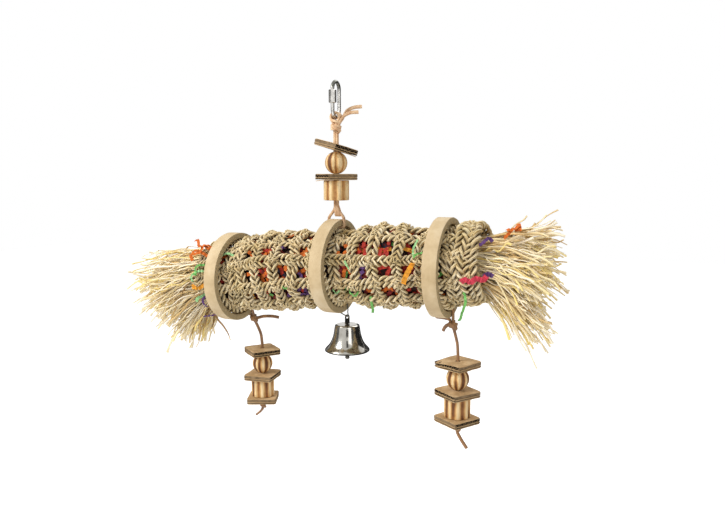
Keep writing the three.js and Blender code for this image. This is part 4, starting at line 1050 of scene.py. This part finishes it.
# Bright shreds that fill the gaps in front, by place along the tube and angle round it
bunches = {
    "red": [(-58, 144), (-59, 180), (-58, 214), (45, 140), (66, 138), (65, 92), (66, 178), (93, 150), (131, 160),
            (86, 218)],
    "orange": [(-78, 144), (-79, 178), (-39, 180), (-22, 140), (-33, 92), (-17, 150), (24, 144), (-60, 150)],
    "yellow": [(-75, 216), (70, 140)],
    "purple": [(-41, 142), (-36, 214), (-20, 212), (46, 178)],
}
for side, low, high in (("left", FILL_START, 0), ("right", 0, FILL_END)):
    # A crumpled core painted near black as painted shade deep in the gaps, then shreds all over it, then the bright
    # ones
    rows, around, core = 44, 60, []
    for i in range(rows + 1):
        s = low + (high - low) * i / rows
        for k in range(around):
            turn = 2 * pi * k / around
            crumple = noise.noise(Vector((s * 0.16, cos(turn) * 4.5, sin(turn) * 4.5))) * 2.2
            core.append(on_tube(s, turn, (net_radius(s) - 9.5 + crumple) * (1 if 0 < i < rows else 0.93)))
    core_faces = lattice(rows + 1, around, inward=True)
    core_faces += [tuple(range(around)), tuple(reversed(range(rows * around, len(core))))]
    shapes, codes = [(core, core_faces)], ["35150F"]
    for _ in range(CORE_SHREDS):
        s, turn = picks.uniform(low + 6, high - 6), picks.uniform(0, 2 * pi)
        shapes.append(wandering_shred(picks, s, turn, picks.uniform(6.4, 8.6), picks.randint(8, 15), low, high))
        codes.append(shred_dyes[picks.choice(deep_dyes_and_painted_shade)])
    for dye_name, spots in bunches.items():
        for s, turn in spots:
            if not (low < s <= high or s > high == FILL_END):
                continue
            for _ in range(BUNCH_SHREDS):
                start, lean = s + picks.uniform(-4.5, 4.5), radians(turn + picks.uniform(-7, 7))
                shapes.append(wandering_shred(picks, start, lean, picks.uniform(4.6, 6.2), 6, low, max(high, s + 6)))
                codes.append(shred_dyes[dye_name])
    dyed_piece(f"paper_core_{side}", shapes, codes, f"paper_fill_{side}")

# Single shreds that stick out, each by its places along the tube, round it and from its axis
shapes, codes = [], []
for dye_name, width, places in (
    ("orange", 3, [(-127, 118, 33), (-134, 120, 38), (-139, 127, 40), (-145, 115, 41), (-150, 114, 40)]),
    ("orange", 3.4, [(-129, 125, 34), (-136, 123, 38), (-137, 137, 38), (-146, 141, 38), (-143, 150, 37)]),
    ("orange", 3, [(-127, 140, 34), (-134, 136, 37), (-142, 133, 38), (-147, 137, 37)]),
    ("green", 2.2, [(-128, 155, 34), (-134, 157, 37), (-138, 163, 37), (-137, 172, 37), (-142, 170, 36)]),
    ("pale_green", 2.4, [(-129, 165, 34), (-136, 167, 36), (-144, 176, 36), (-143, 184, 35)]),
    ("yellow", 3.4, [(-130, 188, 34), (-138, 195, 36), (-143, 190, 36), (-144, 198, 35)]),
    ("pale_green", 3.0, [(-130, 205, 34), (-137, 209, 36), (-143, 213, 37), (-147, 222, 37)]),
    ("purple", 2.4, [(-126, 205, 35), (-134, 210, 38), (-137, 220, 39), (-135, 228, 39)]),
    ("purple", 2.6, [(-124, 236, 36), (-128, 239, 42), (-136, 239, 45), (-146, 241, 46)]),
    ("purple", 3, [(146, 149, 32), (151, 146, 35), (155, 142, 36), (158, 146, 35)]),
    ("pink", 4.6, [(131, 197, 38), (136, 193, 40), (140, 197, 40), (145, 193, 40), (150, 196, 39), (153, 192, 37)]),
    ("purple", 4, [(150, 193, 37), (154, 190, 36), (158, 194, 35)]),
    ("orange", 3.4, [(166, 136, 30), (170, 132, 33), (174, 127, 35), (179, 130, 35), (177, 116, 36)]),
    ("orange", 3, [(168, 124, 34), (173, 132, 37), (179, 122, 36)]),
    ("green", 2.2, [(131, 212, 35), (132, 224, 41), (126, 240, 45), (122, 252, 47), (119, 258, 48)]),
    ("green", 2.4, [(45, 222, 36), (44, 232, 39), (42, 244, 41), (38, 256, 43)]),
    ("yellow", 4.4, [(90, 168, 35), (89, 174, 38), (85, 184, 38.5), (81, 195, 38), (80, 200, 35)]),
    ("pale_green", 2.0, [(92, 132, 35), (93, 139, 38), (91, 150, 38), (90, 158, 35)]),
    ("green", 1.8, [(103, 149, 34), (100, 153, 36), (94, 157, 38), (90, 161, 35)]),
    ("pale_green", 2.2, [(-114, 140, 33), (-108, 138, 36), (-102, 139, 37), (-95, 144, 35)]),
    ("pale_green", 1.8, [(26, 164, 36), (29, 170, 38.5), (31, 178, 36)]),
    ("pale_green", 1.6, [(8, 212, 33), (11, 218, 35), (15, 214, 34)]),
    ("green", 1.8, [(26, 212, 36), (31, 217, 38), (35, 212, 36)]),
    ("green", 1.6, [(-42, 196, 36), (-37, 200, 38.5), (-32, 197, 36)]),
):
    line = smooth_path([on_tube(s, radians(a), r) for s, a, r in places], 4)
    out = [(p - on_tube((p - TUBE_MIDDLE).dot(tube_along) / MM, 0, 0)).normalized() for p in line]
    shapes.append(shred(line, out, width))
    codes.append(shred_dyes[dye_name])
dyed_piece("paper_strays", shapes, codes)


# Fibre tufts. Bundles of pale palm-leaf fibre are pushed into both ends of the tube, and fan out and droop. Each
# is nearly a thousand flat, crinkled strands that hang together in locks and end bluntly.
fibre_tree, given, result = open_tree("flat_fibres", [
    ("Width", "NodeSocketFloat"), ("Thickness", "NodeSocketFloat"), ("Material", "NodeSocketMaterial")])
rail = add_node(fibre_tree, "GeometryNodeMeshToCurve", {0: given.outputs["Geometry"]})
turn = add_node(fibre_tree, "GeometryNodeInputNamedAttribute", {"Name": "turn"}, data_type="FLOAT")
rail = add_node(fibre_tree, "GeometryNodeSetCurveTilt", {"Curve": rail, "Tilt": turn})
taper = add_node(fibre_tree, "GeometryNodeInputNamedAttribute", {"Name": "taper"}, data_type="FLOAT")
strip = add_node(fibre_tree, "GeometryNodeCurvePrimitiveQuadrilateral",
                 {"Width": given.outputs["Width"], "Height": given.outputs["Thickness"]})
solid = add_node(fibre_tree, "GeometryNodeCurveToMesh",
                 {"Fill Caps": True, "Curve": rail, "Profile Curve": strip, "Scale": taper})
solid = add_node(fibre_tree, "GeometryNodeRealizeInstances", {0: solid})
solid = add_node(fibre_tree, "GeometryNodeSetMaterial", {"Geometry": solid, "Material": given.outputs["Material"]})
feed(result, {0: solid})

# Dry palm fibre: darker and browner towards the roots, then cream to straw yellow, a slight natural sheen, each
# strand its own tone
palm, tree, surface = finish_of("dry_palm_fibre", 0.55)
tone = add_node(tree, "Attribute", attribute_name="tone").outputs["Fac"]
tint = add_node(tree, "ValToRGB", {"Fac": tone},
                stops=[(0.0, "96703A"), (0.22, "DAB674"), (0.45, "F5DFAC"), (0.68, "FFF3DA"), (1.0, "F8DE8A")])
feed(surface, {"Base Color": tint, "Sheen Weight": 0.15})

LOCKS, STRANDS, STRAND_STEPS = 38, 980, 20
# In mm: where the strands begin to fan, the tuft's half depth and the give past it, and the most a strand bends
MOUTH, TUFT_HALF, TUFT_GIVE, BEND_MOST = 8, 42, 8, 8


def fibre_tuft(name, node, root_s, way, root, lean, arch, fall, reach, seed, extra, strays=()):
    """Strands from a round root at root_s, along way, which is 1 or -1. Each lock has its place on the root, its
    slopes up and to the rear, its length, its droop and its tone. arch and fall lift and drop the upper locks,
    extra gives single locks and strays dark strands."""
    draw = random.Random(seed)
    locks = []
    for k in range(LOCKS):
        out, angle = root * sqrt((k + 0.5) / LOCKS), k * pi * (3 - sqrt(5))
        back, up = out * cos(angle), out * sin(angle)
        slope = (arch if up > 0 else 0.2) * up / root + draw.gauss(0, 0.06)
        side = 0.27 * back / root + lean + draw.gauss(0, 0.06)
        long = reach * draw.uniform(0.8, 1.02) * (1 + 0.3 * min(0, up / root))
        droop = draw.uniform(12, 24) + 12 * max(0, -up / root) + fall * max(0, up / root)
        locks.append((back, up, slope, side, long, droop, draw.gauss(0.56, 0.17)))
    locks += extra
    strands, points, edges, turns, tapers, tones = [], [], [], [], [], []
    for i in range(STRANDS):
        back, up, slope, side, length, droop, shade = locks[i % len(locks)]
        back, up = back + draw.gauss(0, 2.0), up + draw.gauss(0, 2.0)
        most = (root - 1) / max(root - 1, hypot(back, up))
        back, up = back * most, up * most
        stray = 2.2 if i % 6 == 0 else 1
        fan_up = slope + min(0.12, max(-0.14 * stray, stray * draw.gauss(0, 0.09)))
        fan_side = side + stray * min(0.14, max(-0.14, draw.gauss(0, 0.08)))
        long = length * draw.uniform(0.7, 1.04) / sqrt(stray**0.6 + fan_up**2 + fan_side**2)
        droop *= draw.uniform(0.6, 1.35)
        fine = draw.choice((0.6, 0.8, 0.9, 1.0, 1.3))
        crimp, waves = draw.uniform(0.5, 2.1), draw.uniform(1.5, 4.5)
        phases = [draw.uniform(0, 6.3) for _ in range(3)]
        shade += draw.gauss(0, 0.19)
        curl, rise, hook = [min(BEND_MOST, max(-BEND_MOST, draw.gauss(0, spread))) for spread in (6, 5, 6)]
        places = []
        for k in range(STRAND_STEPS + 1):
            t = k / STRAND_STEPS
            x = long * t
            spread = x - MOUTH * (1 - exp(-x / MOUTH))
            swing = crimp * (0.25 + t)
            y = back + fan_side * spread + curl * t**2 + swing * sin(waves * 2 * pi * t + phases[0])
            z = up + fan_up * spread - droop * t**2.2 + rise * t**2 + hook * t**6
            z += swing * sin(waves * 1.7 * pi * t + phases[1])
            past = max(0, abs(y) - TUFT_HALF)
            y = copysign(abs(y) - past + TUFT_GIVE * tanh(past / TUFT_GIVE), y)
            places.append((root_s + way * x, y, z))
        strands.append((places, fine, phases[2], shade))
    strands += [([tuple(p) for p in smooth_path(places, 5)], 1.3, 0.4, -0.35) for places in strays]
    for places, fine, twist, shade in strands:
        first, last = len(points), len(places) - 1
        for k, (s, y, z) in enumerate(places):
            t = k / last
            points.append(TUBE_MIDDLE + (tube_along * s + tube_back * y + tube_up * z) * MM)
            turns.append(twist + 2.5 * t)
            tapers.append(fine * (0.9 + 0.25 * t**3))
            bleach = 0.9 * t**6 if shade < 0 else 0.26 * t**3 - 0.06
            tones.append(min(1, max(0, shade - 1.6 * max(0, 0.2 - t) + bleach)))
            if k:
                edges.append((first + k - 1, first + k))
    source = line_object(name + "_lines", points, edges, turn=turns, taper=tapers, tone=tones)
    tuft = grown(source, fibre_tree, {"Width": 1.45 * MM, "Thickness": 0.5 * MM, "Material": palm}, name)
    stand_for(tuft, "tube", "fibre", node)


# Left: the upper locks rise and fall over, and three dark strands droop by the ring. Right: the upper locks keep
# level and the lower ones hang.
fibre_tuft("fibre_brush_left", "fibre_tuft_left", -122, -1, 25, -0.03, 0.26, 20, 107, 7,
           [(-8, 18, 0.48, -0.1, 84, 36, 0.5), (4, 20, 0.42, 0.1, 82, 38, 0.42), (-12, -18, -0.6, -0.15, 68, 14, 0.6),
            (-2, -21, -0.7, 0, 62, 12, 0.66), (-14, -14, -0.52, -0.18, 70, 16, 0.58),
            (6, -20, -0.64, 0.2, 64, 12, 0.5)],
           [[(-128, -8, -24), (-139, -10, -38), (-137, -10, -46), (-131, -10, -53), (-126, -10, -61),
             (-124, -10, -68)],
            [(-128, -4, -24), (-141, -6, -38), (-145, -7, -50), (-149, -8, -58)],
            [(-128, -12, -22), (-143, -14, -36), (-149, -14, -48), (-152, -13, -55)]])
fibre_tuft("fibre_brush_right", "fibre_tuft_right", 124, 1, 21, 0.06, 0.04, 0, 84, 8,
           [(2, 17, 0.04, 0.3, 86, 2, 0.3), (-3, 19, 0, 0.2, 86, 2, 0.34), (8, 16, 0.06, 0.4, 84, 2, 0.36),
            (-9, -15, -0.46, 0.05, 82, 24, 0.62), (-4, -18, -0.5, 0.2, 82, 24, 0.56),
            (-13, -10, -0.38, -0.1, 76, 30, 0.6)])


# Bell. A pressed and flared steel cup, bright nickel plated, with a flat strap through its crown. The strap's
# upper eye hangs on a wire bent round the middle ring's wall, and the clapper hangs in its lower eye.
BELL_TURN = 12
WIRE = 0.55 * MM
WIRE_IN, WIRE_SIDE, WIRE_BEND = -37.503, 7.35, 0.85
WIRE_SHOULDER, WIRE_LOW, BELL_SHIFT = -45.3, -51.5, 5.8
right_part = [(0.3, WIRE_IN), (3.5, WIRE_IN)] + arc((WIRE_SIDE - WIRE_BEND, WIRE_IN - WIRE_BEND), WIRE_BEND, 90, 0, 5)
left_part = [(-x, z) for x, z in reversed(right_part)]
flat = right_part + [(WIRE_SIDE, -42), (WIRE_SIDE, WIRE_SHOULDER + 0.4), (WIRE_SIDE - 0.4, WIRE_SHOULDER - 0.7)]
flat += [(BELL_SHIFT + 1.0, WIRE_LOW + 0.6), (BELL_SHIFT, WIRE_LOW + 0.02), (BELL_SHIFT - 1.2, WIRE_LOW + 0.6)]
flat += [(-WIRE_SIDE + 0.9, WIRE_SHOULDER - 0.5), (-WIRE_SIDE, WIRE_SHOULDER + 0.7), (-WIRE_SIDE, -42)] + left_part
hang = Matrix.Translation(RING_MIDDLES["middle"]) @ spin(BELL_TURN, "X")
line = [hang @ (p * MM) for p in smooth_path([(x, 0, z) for x, z in flat], 3)]
# Annealed wire: dull dark steel
dark_wire, tree, surface = finish_of("annealed_wire", 0.45, 1.0)
feed(surface, {"Base Color": linear("5A5853")})
wire = make_piece("bell_hook_wire", sweep(line, disc(WIRE, 12), hang.to_3x3() @ side_way), dark_wire, 60)
stand_for(wire, "tube", "steel", "bell_wire")

# Bright nickel over polished steel: a soft mirror with a faint warm tone and fine turning marks
nickel, tree, surface = finish_of("bright_nickel_plate", 0.1, 1.0)
where = add_node(tree, "TexCoord").outputs["Object"]
haze = add_node(tree, "TexNoise", {"Scale": 120, "Detail": 4, "Vector": where})
tint = add_node(tree, "ValToRGB", {"Fac": haze}, stops=[(0.3, "ACA89F"), (0.7, "C8C5BD")])
# The rim's cut edge, about 1 mm high, is dull and dark
height = add_node(tree, "SeparateXYZ", {0: where}).outputs["Z"]
edge = add_node(tree, "MapRange", {"From Min": -0.2526, "From Max": -0.2508, "Value": height})
dull_and_painted_shade = add_node(tree, "ValToRGB", {"Fac": edge}, stops=[(0.5, "4E4A43"), (1.0, "FFFFFF")])
both = add_node(tree, "Mix", {0: 1.0, 6: tint, 7: dull_and_painted_shade}, data_type="RGBA", blend_type="MULTIPLY").outputs[2]
rough = add_node(tree, "MapRange", {"To Min": 0.1, "To Max": 0.22, "Value": haze})
worn = add_node(tree, "MapRange", {"From Min": 0.5, "To Min": 0.7, "To Max": 0.0, "Value": edge})
rough = add_node(tree, "Math", {0: rough, 1: worn}, operation="MAXIMUM")
dents = add_node(tree, "TexNoise", {"Scale": 150, "Detail": 1, "Vector": where})
bump = add_node(tree, "Bump", {"Strength": 0.06, "Distance": 0.0008, "Height": dents})
feed(surface, {"Base Color": both, "Roughness": rough, "Normal": bump})


def turned(profile, place, around):
    """A closed turning about the upright axis from pairs of radius and height, in mm."""
    vertices = [place @ polar(r * MM, 2 * pi * i / around, z * MM) for r, z in profile for i in range(around)]
    return vertices, lattice(len(profile), around, True, True)


STRAP_HOLE = Vector((5.8, 10.707, -219.75)) * MM
bell_place = Matrix.Translation(STRAP_HOLE) @ spin(-24)
CROWN_Z, BELL_HEIGHT, BELL_WALL = -6.9, 26.0, 1.1
CROWN_RADIUS, RIM_RADIUS = 12.0, 21.8
flare = [(0, 0.06), (0.05, 0.15), (0.14, 0.36), (0.31, 0.58), (0.56, 0.76), (0.86, 0.885), (0.98, 0.94)]
curve = [(CROWN_RADIUS - 1.4, 0, CROWN_Z - 0.15), (CROWN_RADIUS - 0.35, 0, CROWN_Z - 0.75)]
curve += [(CROWN_RADIUS + (RIM_RADIUS - CROWN_RADIUS) * a, 0, CROWN_Z - BELL_HEIGHT * d) for a, d in flare]
wall = [(p.x, p.z) for p in smooth_path(curve, 4)]
RIM_Z = CROWN_Z - BELL_HEIGHT
lip = [(RIM_RADIUS, CROWN_Z - BELL_HEIGHT * 0.965), (RIM_RADIUS, RIM_Z + 0.3), (RIM_RADIUS - 0.4, RIM_Z),
       (RIM_RADIUS - BELL_WALL, RIM_Z + 0.2)]
outside = [(1.5, CROWN_Z), (5, CROWN_Z + 0.05), (8.5, CROWN_Z)] + wall + lip
inside = [(r - BELL_WALL, min(z, CROWN_Z - BELL_WALL)) for r, z in reversed(wall)]
profile = outside + inside + [(5, CROWN_Z - BELL_WALL), (1.5, CROWN_Z - BELL_WALL)]
shell = make_piece("bell_cup", turned(profile, bell_place, 96), nickel, 35)
stand_for(shell, "bell", "nickel", "bell_shell")
strap_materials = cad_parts["bell_strap"].data.materials
strap_materials.clear()
strap_materials.append(nickel)

EYE_Z, EYE_RADIUS, EYE_WIRE = -12.8, 1.9, 0.5
CLAPPER_TOP = EYE_Z - EYE_RADIUS
CLAPPER_FOOT = CLAPPER_TOP - 27
eye = [bell_place @ (Vector((x, 0, z)) * MM) for x, z in arc((0, EYE_Z), EYE_RADIUS, 0, 345, 23)]
eye_ring = sweep(eye, disc(EYE_WIRE * MM, 10), bell_place.to_3x3() @ side_way, closed=True)
stem = [(0.05, CLAPPER_TOP + 0.2), (0.7, CLAPPER_TOP), (0.8, CLAPPER_TOP - 0.6)]
knob = ((0.8, 8.8), (1.2, 4.4), (1.9, 3.2), (2.2, 1.9), (2.1, 0.8), (1.4, 0.1), (0.05, 0))
stem += [(r, CLAPPER_FOOT + up) for r, up in knob]
clapper = make_piece("bell_tongue", joined(eye_ring, turned(stem, bell_place, 24)), dark_wire, 45)
stand_for(clapper, "clapper", "steel", "bell_clapper")


# Dangle laces. At the outer rings a lace goes round the wall and is knotted below its right edge. It hangs down
# through the card and wood and is stopped by a knot under them, with a short tail.
LOOP_EDGE, LOOP_IN, LOOP_OUT, LOOP_BEND = 7.9, -36.953, -45.9, 1.4
PLUMB_STEPS = 24
for side, lean, head, sway, run, foot, end_z, knot_tail, end_tail in (
    ("left", 24, Vector((-107.566, 20.947, -232.641)) * MM, 8.9, 27.2, -321.05, -324.921,
     [(2, 0.3, 0.3), (4.9, 0.6, 0.8), (10, 2.4, 2.2), (18, 5.4, 2.4), (25, 8.2, 1.2)],
     [(0, 0, 2.5), (-1.2, -0.3, -2.2), (-4, -0.9, -5.6), (-8, -1.6, -9)]),
    ("right", 3, Vector((114.407, 2.695, -215.649)) * MM, 5, 28.5, -305.35, -309.229,
     [(-2, -0.4, 0), (-4.9, -1, -0.6), (-7, -1.8, -2.6), (-8.6, -2.4, -6)],
     [(0, 0, 2.5), (1.2, -0.2, -2.4), (5, -1, -8), (10.4, -2, -14.6)]),
):
    place = Matrix.Translation(RING_MIDDLES[side]) @ spin(lean, "X")
    flat = [(LOOP_EDGE - 0.3, LOOP_OUT - 2.6), (LOOP_EDGE, LOOP_OUT), (LOOP_EDGE, LOOP_IN - 3.5)]
    flat += arc((LOOP_EDGE - LOOP_BEND, LOOP_IN - LOOP_BEND), LOOP_BEND, 0, 90, 4)
    flat += [(2.5, LOOP_IN), (-2.5, LOOP_IN)]
    flat += arc((LOOP_BEND - LOOP_EDGE, LOOP_IN - LOOP_BEND), LOOP_BEND, 90, 180, 4)
    flat += [(-LOOP_EDGE, LOOP_IN - 3.5), (-LOOP_EDGE, LOOP_OUT + 3)]
    flat += arc((LOOP_BEND - LOOP_EDGE, LOOP_OUT + LOOP_BEND), LOOP_BEND, 180, 270, 4)
    flat += [(-2, LOOP_OUT - 0.1), (3, LOOP_OUT - 0.6), (5.6, LOOP_OUT - 1.6)]
    line = [place @ (p * MM) for p in smooth_path([(x, 0, z) for x, z in flat], 2)]
    lace_piece(f"{side}_lace_loop", sweep(line, lace, place.to_3x3() @ side_way), "tube", f"{side}_loop")

    lace_piece(f"{side}_lace_knot", wrapped_knot(head, 4.3 * MM, 8.4 * MM, 2.2, -75), f"{side}_head", f"{side}_knot")
    line = [head + p * MM for p in smooth_path(knot_tail, 6)]
    lace_piece(f"{side}_lace_tail", sweep(line, lace, Vector((0.1, 0.5, 1))), f"{side}_head", f"{side}_tail")

    end_spot = Vector((head.x + sway * MM, head.y, end_z * MM))
    wraps = wrapped_knot(end_spot, 3.7 * MM, 7.0 * MM, 2.0, -70)
    end_knot = lace_piece(f"{side}_end_wraps", wraps, f"{side}_drop", f"{side}_end_knot")
    line = [end_spot - Vector((0, 0, 3.9 * MM)) + p * MM for p in smooth_path(end_tail, 6)]
    strip = sweep(line, lace, Vector((0.2, 1, 0.1)))
    foot_tail = lace_piece(f"{side}_end_strip", strip, f"{side}_drop", f"{side}_end_tail")

    bare = [(0.05, -3), (0.2, -4.8), (0.5, -4.2 - 0.2 * run), (0.85, -4.2 - 0.46 * run), (1, -4.2 - 0.8 * run)]
    line = smooth_path([head + Vector((a * sway, 0, z)) * MM for a, z in bare], 8)
    last = line[-1]
    for i in range(1, PLUMB_STEPS + 1):
        line.append(Vector((last.x, last.y, last.z + (foot * MM - last.z) * i / PLUMB_STEPS)))
    hanging = lace_piece(f"{side}_hanging_lace", sweep(line, lace, side_way), f"{side}_drop", f"{side}_lace")
